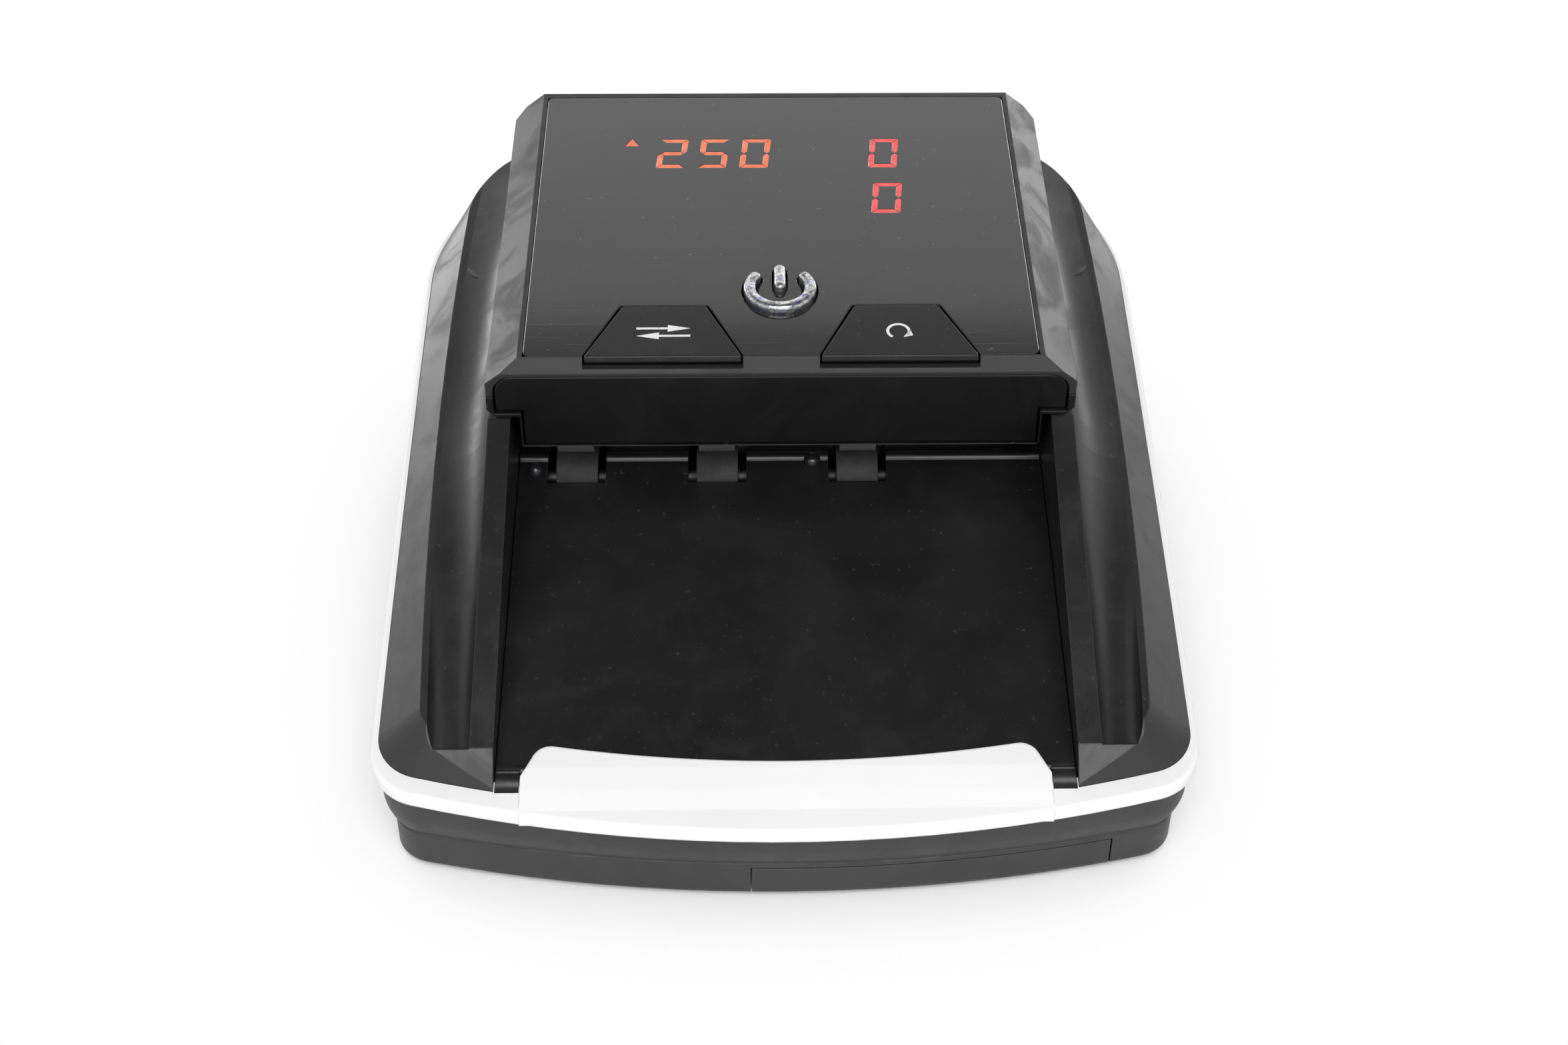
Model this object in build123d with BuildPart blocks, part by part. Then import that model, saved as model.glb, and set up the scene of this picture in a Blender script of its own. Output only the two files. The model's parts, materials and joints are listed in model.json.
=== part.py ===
"""Small banknote counter with a tilting reader head, built as separate pieces.

Frame: millimetres, +Z up, the feed tray faces -Y, +X is the operator's right.
The origin is the middle of the footprint on the table.
"""
from build123d import *
from math import asin, atan, cos, degrees, radians, sin, sqrt, tan
import os

os.makedirs("parts", exist_ok=True)

# ---------------------------------------------------------------- overall
body_width = 128.0
body_depth = 148.0
side_bow = 0.4              # the long sides swell by this much at mid length
front_bow_radius = 236.0    # plan radius of the bowed front
front_corner = 9.0
rear_corner = 32.0
rear_bow = 3.0
wall = 2.0                  # general moulding thickness
seam = 0.15                 # gap between two fitted mouldings
contact_gap = 0.3           # rolling or touching faces that move
bore_gap = 0.05             # radial running clearance of a shaft

front = -body_depth / 2
rear = body_depth / 2
half = body_width / 2
above_all = 90.0            # cutters reach this high

# ---------------------------------------------------------------- side view
foot_proud = 0.8            # rubber feet below the base
plinth_top = 8.0
tuck_turn = 9.8
tuck_top = 13.5             # the base widens up to here, then stands upright
trim_front_height = 15.7    # underside of the trim at the front centre
body_slope = 10.2           # trim, flank ridge and tray floor climb at this angle
trim_thick = 2.2
flank_height = 6.0          # ridge above the trim
rail_setback = 12.0         # the rails start this far behind the front
rail_kerb = 3.9             # and stand this much above the trim there
ledge_stand = 15.23         # the rails climb to this height above the trim at the head
pod_width = 16.0            # from the flank to the rail
rail_width = 3.7
tray_setback = 10.8         # front edge of the tray floor
head_length = 76.6
head_setback = 5.0          # the reader head ends this far before the rear
head_slope = 4.2
head_tall = 11.29           # front edge of the lens above the rails

rail_front = front + rail_setback
rail_outer = half - pod_width
tray_half = rail_outer - rail_width
tray_lip = front + tray_setback
head_rear = rear - head_setback
head_front = head_rear - head_length

slope_rise = tan(radians(body_slope))
head_rise = tan(radians(head_slope))


def trim_under(y):
    """Height of the trim's underside."""
    return trim_front_height + slope_rise * (y - front)


def trim_over(y):
    """Height of the trim's upper face, where the upper shell stands."""
    return trim_under(y) + trim_thick / cos(radians(body_slope))


def tray_height(y):
    """Height of the tray floor's upper face."""
    return trim_over(y) + seam


def ridge_height(y):
    return trim_over(y) + flank_height / cos(radians(body_slope))


rail_front_height = trim_over(rail_front) + rail_kerb
rail_top_height = trim_over(head_front) + ledge_stand
rail_rise = (rail_top_height - rail_front_height) / (head_front - rail_front)


def rail_height(y):
    return rail_front_height + rail_rise * (y - rail_front)


def ledge_height(y):
    """Top of the ledge under the ears of the head."""
    return rail_height(head_front) + head_rise * (y - head_front)


# ---------------------------------------------------------------- insets
tier_inset = 1.2            # base wall inside the trim's edge
step_inset = 3.1            # at the bottom of the tuck
tuck_inset = 1.8            # where the tuck turns upright
plinth_inset = 2.6
plinth_edge = 1.2           # rounded lower edge
plinth_crown = 0.5          # rounded upper edge
notch_wall = 1.3            # left behind the step between the tiers
shell_inset = 1.1           # shell edge inside the trim's edge, sides and rear
shell_front_inset = 3.2
ridge_half = half - 6.6     # at mid length
ridge_end_half = half - 8.8 # at the front and rear corners
ridge_front = front + 7.5
ridge_rear = rear - 3.0
ridge_front_corner = 5.0
ridge_rear_corner = 18.0
ridge_land = 0.8            # flat top of the ridge
valley_depth = 2.4          # the dish between ridge and rail
rail_step = 0.4             # the rail stands this much above the dish

# ---------------------------------------------------------------- note path
roller_setback = 8.6        # feed roller axis behind the front of the head
exit_setback = 15.0         # exit roller axis before the rear of the head
crest_step = 0.344          # the lower guide lies below the highest line of the tray floor
path_gap = 1.6              # between lower guide and reader head
roller_radius = 6.5
roller_proud = 1.0
roller_width = 7.0
roller_pitch = 23.7
roller_margin = 9.9         # from the side of the tray to the first roller
roller_count = 3
roller_axis_y = head_front + roller_setback
exit_axis_y = head_rear - exit_setback
crest = roller_axis_y - 0.2             # highest line of the tray floor
tray_end = roller_axis_y + 1.6          # rear edge of the tray floor, where the guide starts
path_height = tray_height(crest) - crest_step
shaft_radius = 2.0
pinch_radius = 4.5
pinch_shaft_radius = 1.5
pinch_width = 6.0
axis_height = path_height + roller_proud - roller_radius
pinch_height = axis_height + roller_radius + contact_gap + pinch_radius
roller_xs = [roller_margin - tray_half + i * roller_pitch for i in range(roller_count)]
slot_side = 1.4             # free width beside a roller
slot_end = 0.9              # free length before a roller

# ---------------------------------------------------------------- reader head
head_half = rail_outer
frame_width = 6.3           # beside the lens
lens_setback = 1.7          # behind the front of the head
lens_length = 73.6
lens_thick = 2.0
lens_gap = 0.2
chamfer_run = 5.4
chamfer_drop = 4.2
cover_drop = 6.8            # seam between cover and lower body, below the lens plane
frame_front = 0.5           # flat strip before the lens
nose_run = 1.2              # the nose leans forward by this much
nose_drop = 2.4
ear_gap = 0.4
mid_side_gap = 1.5          # between the middle of the head and the sides of the tray
panel_thick = 1.2
panel_margin = 1.3
panel_radius = 3.0

lens_half = head_half - frame_width
lens_front = head_front + lens_setback
lens_front_height = rail_height(head_front) + head_tall
frame_half = head_half - chamfer_run    # flat top of the cover
mid_half = tray_half - mid_side_gap
panel_half = head_half - panel_margin

lens_plane = Plane(
    origin=(0, lens_front, lens_front_height),
    x_dir=(1, 0, 0),
    z_dir=(0, -sin(radians(head_slope)), cos(radians(head_slope))),
)


def lens_height(y):
    """Height of the lens face."""
    return lens_front_height + head_rise * (y - lens_front)


upright = (Align.CENTER, Align.CENTER, Align.MIN)


# ---------------------------------------------------------------- helpers
def block(x, y, z, mode=Mode.ADD):
    """Box between two limits on each axis."""
    centre = ((x[0] + x[1]) / 2, (y[0] + y[1]) / 2, (z[0] + z[1]) / 2)
    with Locations(centre):
        Box(x[1] - x[0], y[1] - y[0], z[1] - z[0], mode=mode)


def slab_x(points, x, mode=Mode.ADD):
    """Polygon in the side view, given as (y, z), spread between two x."""
    with BuildSketch(Plane.YZ.offset(x[0])) as side:
        with BuildLine():
            Polyline(*points, close=True)
        make_face()
    extrude(side.sketch, amount=x[1] - x[0], mode=mode)


def rod_x(y, z, radius, x, mode=Mode.ADD):
    """Round bar along X."""
    with BuildSketch(Plane.YZ.offset(x[0])) as disc:
        with Locations((y, z)):
            Circle(radius)
    extrude(disc.sketch, amount=x[1] - x[0], mode=mode)


def tilted(height):
    """Plane parallel to the trim, at a height above its underside."""
    rise = height / cos(radians(body_slope))
    return Plane(
        origin=(0, front, trim_front_height + rise),
        x_dir=(1, 0, 0),
        z_dir=(0, -sin(radians(body_slope)), cos(radians(body_slope))),
    )


def outline(plane, end_half, mid_half_width, y_front, y_rear, corner, back_corner):
    """Plan outline with a bowed front, swelling sides and a bowed rear.

    The plane is level, or tilted like the trim; the outline keeps its size in plan.
    """
    level = plane.z_dir.Z > 1 - 1e-9
    scale = 1.0 if level else 1 / cos(radians(body_slope))
    origin = 0.0 if level else front
    bow = front_bow_radius - sqrt(front_bow_radius**2 - end_half**2)
    front_y = y_front + bow
    rear_y = y_rear - rear_bow

    def at(x, y):
        return (x, (y - origin) * scale)

    with BuildSketch(plane) as plan:
        with BuildLine():
            ThreePointArc(at(-end_half, front_y), at(0, y_front), at(end_half, front_y))
            ThreePointArc(at(end_half, front_y), at(mid_half_width, 0), at(end_half, rear_y))
            ThreePointArc(at(end_half, rear_y), at(0, y_rear), at(-end_half, rear_y))
            ThreePointArc(at(-end_half, rear_y), at(-mid_half_width, 0), at(-end_half, front_y))
        make_face()
        fillet(plan.vertices().sort_by(Axis.Y)[:2], corner)
        fillet(plan.vertices().sort_by(Axis.Y)[-2:], back_corner)
    return plan.sketch


def body_outline(plane, inset, front_inset=None):
    """The body's outline, moved inwards."""
    step = inset if front_inset is None else front_inset
    return outline(
        plane,
        half - side_bow - inset,
        half - inset,
        front + step,
        rear - inset,
        max(front_corner - inset, 1.0),
        max(rear_corner - inset, 1.0),
    )


# ---------------------------------------------------------------- base sizes
base_under = foot_proud
inner_step = wall + plinth_inset + plinth_edge
deck_low = base_under + wall            # inner floor of the base
tray_plate = 2.0
deck_thick = 1.2

cover_width = 55.8                      # battery cover
cover_right = half - 13.5
cover_left = cover_right - cover_width
cover_back = front + 46.0
cover_top = 7.0
cover_gap = 0.25
battery_size = (46.0, 31.0, 9.6)

exit_half = tray_half - 2.3             # exit slot in the rear wall
exit_low = path_height - deck_thick
exit_high = exit_low + 7.0
exit_cut = 12.0             # the slot reaches this far in at the curved corners

foot_radius = 3.5
foot_recess = 0.8
foot_front = (half - 9.2, front + 27.0)
foot_rear = (half - 17.0, rear - 18.0)
foot_places = [(-foot_front[0], foot_front[1]), foot_front, (-foot_rear[0], foot_rear[1]), foot_rear]

jack_width = 9.0
jack_height = 11.0
jack_x = 28.0
port_width = 7.6
port_height = 2.8
port_x = 12.0

case_screw_places = [
    (11.0 - half, front + 38.0),
    (half - 10.4, cover_back + 6.0),
    (12.0 - half, rear - 36.0),
    (half - 12.0, rear - 36.0),
]
screw_radius = 1.5
screw_head_radius = 2.8
screw_head_height = 1.8
screw_post_radius = 4.6


def body_slab(inset, low, high, front_inset=None, mode=Mode.ADD):
    """Upright slab with the body's outline."""
    plan = body_outline(Plane.XY.offset(low), inset, front_inset)
    extrude(plan, amount=high - low, mode=mode)


# ---------------------------------------------------------------- base shell
def base_solid():
    """Outer form of the base: plinth, tucked tier and upright tier, under the trim."""
    with BuildPart() as form:
        body_slab(plinth_inset, base_under, plinth_top)
        fillet(form.faces().sort_by(Axis.Z)[0].edges(), plinth_edge)
        fillet(form.faces().sort_by(Axis.Z)[-1].edges(), plinth_crown)
        loft([
            body_outline(Plane.XY.offset(plinth_top - plinth_crown), step_inset),
            body_outline(Plane.XY.offset(tuck_turn), tuck_inset),
            body_outline(Plane.XY.offset(tuck_top), tier_inset),
        ])
        body_slab(tier_inset, tuck_top, above_all)
        split(bisect_by=tilted(0), keep=Keep.BOTTOM)
    return form.part


# ---------------------------------------------------------------- upper shell
ledge_rear_drop = 1.8       # the ledge drops behind the head so that it can tilt
hinge_setback = 3.0         # hinge axis before the rear of the head
hinge_y = head_rear - hinge_setback
ledge_rear = hinge_y - 6.0
slope_foot = front + 7.2    # the front slope meets the trim here
front_rise = (rail_front_height - trim_over(slope_foot)) / (rail_front - slope_foot)
slope_rest = 3.2            # the front slope also cuts the ridges, this far behind the rails' ends
rail_blend = 9.0            # the dish eases from the rail's slope to the ledge's over this length
dish_shares = (0.0, 0.16, 0.5, 0.7, 0.81, 0.9, 1.0)         # along the tray
dish_steps = (0.07, 0.13, 0.22, 0.33, 0.44, 0.55, 0.66, 0.77, 0.88)     # along the head
valley_fade = 60.0          # towards the rear the dish turns flat over this length
dish_stations = [rail_front + share * (head_front - rail_front) for share in dish_shares]
dish_stations += [head_front + step * head_length for step in dish_steps] + [rear + wall]
pod_stations = [rail_front + 2 * wall, head_front - rail_blend, head_front, head_front + rail_blend]
pod_stations += [exit_axis_y - rail_blend, ledge_rear]


def ridge_inner(y):
    """Half width of the inner edge of the ridge's flat top."""
    fall = (ridge_half - ridge_end_half) * (2 * y / (rear - front - rear_corner)) ** 2
    return ridge_half - fall - ridge_land


def dish_edge(y):
    """Height of the dish where it meets the rails, easing into the line of the ledge."""
    past = y - head_front
    before = (sqrt(past**2 + rail_blend**2) - past) / 2
    return ledge_height(y) - (rail_rise - head_rise) * before - rail_step


def valley(y):
    """Depth of the dish below its edges, fading out before the rear."""
    share = min(max((ledge_rear - y) / valley_fade, 0.05), 1.0)
    return valley_depth * share * share * (3 - 2 * share)


def dish_floor(x, y):
    """Height of the dish at a distance x from the middle."""
    across = (x - rail_outer) / (ridge_inner(y) - rail_outer)
    chord = dish_edge(y) + across * (ridge_height(y) - dish_edge(y))
    return chord - 4 * valley(y) * across * (1 - across)


def flank_inside(y, inset):
    """Half width of the body at y, moved inwards."""
    past = max(y - (rear - rear_bow - rear_corner), 0)
    return half - rear_corner + sqrt(rear_corner**2 - past**2) - inset


def prism_y(section, span, mode=Mode.ADD):
    """Straight-sided bar along Y; section(y) gives its (x, z) corners."""
    faces = []
    for y in span:
        with BuildSketch(Plane(origin=(0, y, 0), x_dir=(1, 0, 0), z_dir=(0, -1, 0))) as cut:
            with BuildLine():
                Polyline(*section(y), close=True)
            make_face()
        faces.append(cut.sketch)
    loft(faces, ruled=True, mode=mode)


def ridge_outline(plane):
    """Plan outline of the ridge."""
    return outline(
        plane,
        ridge_end_half,
        ridge_half,
        ridge_front,
        ridge_rear,
        ridge_front_corner,
        ridge_rear_corner,
    )


def cross_section(y):
    """Section across the shell: ridges, dishes and the level between the rails."""
    crest_x = ridge_inner(y)
    crest_z = ridge_height(y)
    edge_z = dish_edge(y)
    rail_z = min(rail_height(y), ledge_height(y))
    sag_x = (crest_x + rail_outer) / 2
    sag_z = (crest_z + edge_z) / 2 - valley(y)
    low = trim_over(y) - wall
    with BuildSketch(Plane(origin=(0, y, 0), x_dir=(1, 0, 0), z_dir=(0, -1, 0))) as section:
        with BuildLine():
            Polyline(
                (-crest_x, crest_z),
                (-half, crest_z),
                (-half, low),
                (half, low),
                (half, crest_z),
                (crest_x, crest_z),
            )
            ThreePointArc((crest_x, crest_z), (sag_x, sag_z), (rail_outer, edge_z))
            Polyline(
                (rail_outer, edge_z),
                (rail_outer, rail_z),
                (-rail_outer, rail_z),
                (-rail_outer, edge_z),
            )
            ThreePointArc((-rail_outer, edge_z), (-sag_x, sag_z), (-crest_x, crest_z))
        make_face()
    return section.sketch


def front_section(y):
    """Section in front of the rails, at the height of the ridge."""
    low = trim_over(y) - wall
    return [(-half, low), (-half, ridge_height(y)), (half, ridge_height(y)), (half, low)]


def shell_solid():
    """Outer form of the upper shell: flanks, ridges, dishes, rails and ledges."""
    flank_top = tilted(trim_thick + flank_height + seam)
    with BuildPart() as flanks:
        loft([
            body_outline(tilted(trim_thick), shell_inset, shell_front_inset),
            ridge_outline(flank_top),
        ])
        extrude(ridge_outline(flank_top), amount=half, dir=(0, 0, 1))
    front_slope = [
        (front - wall, trim_over(front - wall) + seam),
        (slope_foot, trim_over(slope_foot)),
        (rail_front, rail_front_height),
        (rail_front + slope_rest, rail_front_height + slope_rest * front_rise),
        (rail_front + slope_rest, above_all),
        (front - wall, above_all),
    ]
    with BuildPart() as form:
        loft([cross_section(y) for y in dish_stations], ruled=True)
        prism_y(front_section, (front, rail_front))
        slab_x(front_slope, (-half, half), mode=Mode.SUBTRACT)
        add(flanks.part, mode=Mode.INTERSECT)
    return form.part


def finish(piece, name):
    """Label a piece and write its file."""
    piece.part.label = name
    export_step(piece.part, f"parts/{name}.step")


# ---------------------------------------------------------------- trim band
trim_inner = 5.0
tongue_half = tray_half - 4.0           # at the root, beside the notches
tongue_shoulder = tongue_half - 2.7
tongue_straight = 2.5       # straight root behind the rim
tongue_end = front + 12.0   # rear edge of the tongue, at the centre
tongue_sag = 3.3
tongue_thick = 0.9
tongue_corner = 3.0
lip_radius = 1.2
rim_inner = front + shell_front_inset


def tongue_plan():
    """Outline of the tongue seen from above."""
    corner_y = tongue_end + tongue_sag
    root_y = slope_foot + tongue_straight
    with BuildSketch(Plane.XY.offset(trim_under(front) - wall)) as plan:
        with BuildLine():
            Line((-tongue_half, rim_inner), (-tongue_half, root_y))
            Line((-tongue_half, root_y), (-tongue_shoulder, corner_y))
            ThreePointArc((-tongue_shoulder, corner_y), (0, tongue_end), (tongue_shoulder, corner_y))
            Line((tongue_shoulder, corner_y), (tongue_half, root_y))
            Line((tongue_half, root_y), (tongue_half, rim_inner))
            Line((tongue_half, rim_inner), (-tongue_half, rim_inner))
        make_face()
        fillet(plan.vertices().sort_by(Axis.Y)[-2:], tongue_corner)
    return plan.sketch


def tongue_solid():
    """The tongue: from the rim up and back over the front of the tray floor."""
    back = tongue_end + 2 * tongue_sag
    side = [
        (rim_inner, trim_over(rim_inner) - trim_thick),
        (rim_inner, trim_over(rim_inner) - seam),
        (slope_foot, tray_height(slope_foot) + tongue_thick / 2),
        (tray_lip, tray_height(tray_lip) + tongue_thick),
        (back, tray_height(back) + tongue_thick),
        (back, tray_height(back)),
        (tray_lip - seam, tray_height(tray_lip - seam)),
        (tray_lip - seam, trim_over(tray_lip) - trim_thick),
    ]
    with BuildPart() as form:
        slab_x(side, (-half, half))
        extrude(tongue_plan(), amount=above_all, mode=Mode.INTERSECT)
        rear_edges = [e for e in form.edges() if e.length > tongue_shoulder and e.center().Y > tray_lip]
        arc = [e for e in rear_edges if abs(e.center().Z - tray_height(e.center().Y) - tongue_thick) < seam]
        fillet(arc, tongue_thick / 2)
    return form.part


with BuildPart() as trim_band:
    body_slab(0, trim_under(front) - wall, above_all)
    body_slab(trim_inner, trim_under(front) - wall, above_all, mode=Mode.SUBTRACT)
    split(bisect_by=tilted(0), keep=Keep.TOP)
    split(bisect_by=tilted(trim_thick), keep=Keep.BOTTOM)
    rim = trim_band.edges().filter_by(lambda e: abs(e.center().Z - trim_over(e.center().Y)) < seam)
    outer_rim = [e for e in rim if abs(e.center().X) > half - trim_inner / 2 or e.center().Y < front + 1]
    fillet(outer_rim, trim_thick / 3)
    add(tongue_solid())
finish(trim_band, "trim_band")


# ---------------------------------------------------------------- upper shell
trough_wall = 2.0
trough_low = path_height - 3.2          # the trough walls reach below the note path
trough_rear = hinge_y - 4.5
cross_rib = (rail_front + 3.0, rail_front + 6.0)
boss_radius = 3.4
pilot = screw_radius + bore_gap
hinge_height = ledge_height(hinge_y) + ear_gap + 3.0
pin_radius = 1.25
lug_radius = 3.2
lug = (mid_half - 9.3, mid_half - 3.3)


def under_tray(y):
    return tray_height(y) - tray_plate - wall


trough_side = [
    (rail_front - wall, under_tray(rail_front - wall)),
    (rail_front - wall, trim_over(rail_front - wall)),
    (rail_front, rail_height(rail_front)),
    (head_front, rail_height(head_front)),
    (ridge_rear - wall, ledge_height(ridge_rear - wall) - ledge_rear_drop),
    (ridge_rear - wall, trim_over(ridge_rear - wall)),
    (trough_rear, trim_over(trough_rear)),
    (trough_rear, trough_low),
    (roller_axis_y, trough_low),
]

def pod_section(y, side):
    """Hollow of a side pod: between the trough wall and the flank, under the dish."""
    inner = tray_half + trough_wall
    top = flank_inside(y, half - ridge_half + wall)
    middle = (rail_outer + top) / 2
    corners = [
        (inner, trim_over(y) - wall),
        (inner, dish_edge(y) - wall),
        (middle, dish_floor(middle, y) - wall),
        (top, ridge_height(y) - wall - ridge_land),
        (flank_inside(y, shell_inset + wall), trim_over(y) - wall),
    ]
    return [(side * x, z) for x, z in corners]


with BuildPart() as upper_shell:
    add(shell_solid())
    for side in (-1, 1):
        prism_y(lambda y: pod_section(y, side), pod_stations, mode=Mode.SUBTRACT)
        slab_x(trough_side, sorted((side * tray_half, side * (tray_half + trough_wall))))
    block((-tray_half, tray_half), (front, ridge_rear - wall), (0, above_all), mode=Mode.SUBTRACT)
    ledge_end = ledge_height(ledge_rear) - ledge_rear_drop
    slab_x(
        [
            (ledge_rear, ledge_end),
            (rear + wall, ledge_end),
            (rear + wall, above_all),
            (ledge_rear, above_all),
        ],
        (-rail_outer, rail_outer),
        mode=Mode.SUBTRACT,
    )
    rib_top = under_tray(cross_rib[0]) + wall
    block((-tray_half - wall, tray_half + wall), cross_rib, (rib_top - wall, rib_top - seam))
    for x, y in case_screw_places:
        rise = dish_floor(abs(x), y) - trim_over(y) + wall / 2
        with Locations((x, y, trim_over(y) - wall)):
            Cylinder(boss_radius, rise, align=upright)
            Cylinder(pilot, rise - wall / 2, align=upright, mode=Mode.SUBTRACT)
    for side in (-1, 1):
        span = sorted((side * lug[0], side * lug[1]))
        slab_x(
            [
                (ridge_rear, ledge_end - lug_radius),
                (ridge_rear, ledge_end),
                (hinge_y + lug_radius, hinge_height),
                (hinge_y - lug_radius, hinge_height),
                (hinge_y - lug_radius, ledge_end - lug_radius),
            ],
            span,
        )
        rod_x(hinge_y, hinge_height, lug_radius, span)
        rod_x(hinge_y, hinge_height, pin_radius + bore_gap, span, mode=Mode.SUBTRACT)
finish(upper_shell, "upper_shell")


# ---------------------------------------------------------------- tray floor
dome_radius = 1.3
dome_places = [(2.9 - tray_half, roller_axis_y - 4.4), (roller_xs[1] + 16.1, roller_axis_y - 2.6)]
tray_side_gap = seam
tray_relief = roller_axis_y - 3.2       # thinner behind this line, over the feed pulley
slot_front = roller_axis_y - roller_radius - 0.6
bead_y = crest - 1.2        # rounded bead along the crest
bead_radius = 1.1
bead_proud = 0.6

with BuildPart() as tray_floor:
    slab_x(
        [
            (tray_lip, tray_height(tray_lip)),
            (crest, tray_height(crest)),
            (tray_end, path_height),
            (tray_end, path_height - deck_thick),
            (tray_relief, path_height - deck_thick),
            (tray_relief, tray_height(tray_relief) - tray_plate),
            (tray_lip, tray_height(tray_lip) - tray_plate),
        ],
        (-tray_half + tray_side_gap, tray_half - tray_side_gap),
    )
    lip_edge = tray_floor.edges().filter_by(Axis.X).sort_by(Axis.Y)[:2].sort_by(Axis.Z)[-1]
    fillet(lip_edge, lip_radius)
    crest_edges = [e for e in tray_floor.edges().filter_by(Axis.X) if abs(e.center().Y - crest) < seam]
    fillet(max(crest_edges, key=lambda e: e.center().Z), lip_radius)
    bead_span = (-tray_half + tray_side_gap, tray_half - tray_side_gap)
    rod_x(bead_y, tray_height(bead_y) + bead_proud - bead_radius, bead_radius, bead_span)
    for side in (-1, 1):
        span = sorted((side * (tongue_half + seam), side * (tray_half - tray_side_gap)))
        slab_x(
            [
                (tray_lip + tray_plate, tray_height(tray_lip + tray_plate)),
                (tray_lip + lip_radius / 2, tray_height(tray_lip)),
                (slope_foot, trim_over(slope_foot)),
                (tray_lip, trim_over(tray_lip)),
                (tray_lip + tray_plate, trim_over(tray_lip + tray_plate) - wall / 2),
            ],
            span,
        )
    for x in roller_xs:
        clear = roller_width / 2 + slot_side
        block((x - clear, x + clear), (slot_front, tray_end + wall), (0, above_all), mode=Mode.SUBTRACT)
    for x, y in dome_places:
        with Locations((x, y, tray_height(y))):
            Cylinder(dome_radius + bore_gap, 4 * tray_plate, mode=Mode.SUBTRACT)
finish(tray_floor, "tray_floor")

with BuildPart() as sensor_domes:
    for x, y in dome_places:
        low = tray_height(y) - tray_plate - wall / 4
        with BuildSketch(Plane.XY.offset(low)) as disc:
            with Locations((x, y)):
                Circle(dome_radius)
        extrude(disc.sketch, amount=tray_plate + wall / 4)
        with Locations((x, y, tray_height(y))):
            Sphere(dome_radius)
finish(sensor_domes, "sensor_domes")


# ---------------------------------------------------------------- base shell
bay_flange = 1.2            # the battery cover's flanges run inside the floor
bay_left = cover_left - bay_flange - contact_gap
bay_right = cover_right + bay_flange + contact_gap
bay_top = 14.0
battery_front = front + 11.0
screw_reach = 4.0           # thread length above the post
board_low = 6.6
board_thick = 1.6
board_top = board_low + board_thick
board_half = 36.0
board_front = rear - 32.0
board_span = (board_front, rear - 9.0)
board_posts = [
    (4.0 - board_half, board_front + 4.0),
    (board_half - 4.0, board_front + 4.0),
    (4.0 - board_half, board_span[1] - 3.5),
    (board_half / 2, board_span[1] - 3.5),
]
small_screw = 1.0
small_head = 1.8
small_head_height = 1.2
cheek_low = deck_low + 9.2              # the chassis stands on posts of this height
cheek_x = tray_half - 6.3
cheek_ys = (roller_axis_y + 9.0, exit_axis_y - 16.0)
cheek_posts = [(side * cheek_x, y) for y in cheek_ys for side in (-1, 1)]
cheek_post_radius = 3.0
jack_radius = 4.0
jack_z = board_top + jack_height / 2
port_z = board_top + port_height / 2


def floor_post(x, y, radius, top, bore):
    """Post on the base floor with a pilot hole from above."""
    with Locations((x, y, deck_low - seam)):
        Cylinder(radius, top - deck_low + seam, align=upright)
    with Locations((x, y, deck_low + wall / 2)):
        Cylinder(bore, top, align=upright, mode=Mode.SUBTRACT)


with BuildPart() as base_shell:
    add(base_solid())
    body_slab(plinth_inset + wall, deck_low, plinth_top, mode=Mode.SUBTRACT)
    body_slab(step_inset + notch_wall, plinth_top, above_all, mode=Mode.SUBTRACT)
    for x in (bay_left - wall, bay_right):
        block((x, x + wall), (battery_front + wall / 2, cover_back), (deck_low - seam, bay_top))
    block((bay_left - wall, bay_right + wall), (cover_back, cover_back + wall), (deck_low - seam, bay_top))
    block(
        (cover_left - cover_gap, cover_right + cover_gap),
        (front, cover_back - wall / 2),
        (0, deck_low),
        mode=Mode.SUBTRACT,
    )
    block(
        (cover_left - cover_gap, cover_right + cover_gap),
        (front, front + 6 * wall),
        (0, cover_top),
        mode=Mode.SUBTRACT,
    )
    for x, y in case_screw_places:
        top = trim_over(y) - wall - seam
        with Locations((x, y, base_under)):
            Cylinder(screw_post_radius, top - base_under, align=upright)
        with Locations((x, y, 0)):
            Cylinder(screw_head_radius + contact_gap, top - wall, align=upright, mode=Mode.SUBTRACT)
            Cylinder(screw_radius + contact_gap / 2, above_all, align=upright, mode=Mode.SUBTRACT)
    for x, y in board_posts:
        floor_post(x, y, 2.4, board_low, small_screw)
    for x, y in cheek_posts:
        floor_post(x, y, cheek_post_radius, cheek_low, small_screw)
    for x, y in foot_places:
        with Locations((x, y, 0)):
            Cylinder(foot_radius, base_under + foot_recess, align=upright, mode=Mode.SUBTRACT)
    block((-exit_half, exit_half), (rear - exit_cut, rear + wall), (exit_low, exit_high), mode=Mode.SUBTRACT)
    with BuildSketch(Plane.XZ.offset(-rear - wall)) as jack_hole:
        with Locations((jack_x, jack_z)):
            Circle(jack_radius + bore_gap)
        with Locations((port_x, port_z)):
            Rectangle(port_width + 2 * seam, port_height + 2 * seam)
    extrude(jack_hole.sketch, amount=5 * wall, mode=Mode.SUBTRACT)
finish(base_shell, "base_shell")

with BuildPart() as rubber_feet:
    for x, y in foot_places:
        with Locations((x, y, 0)):
            Cylinder(foot_radius, base_under + foot_recess, align=upright)
    lower = rubber_feet.edges().group_by(Axis.Z)[0]
    fillet(lower, 0.3)
finish(rubber_feet, "rubber_feet")

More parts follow.
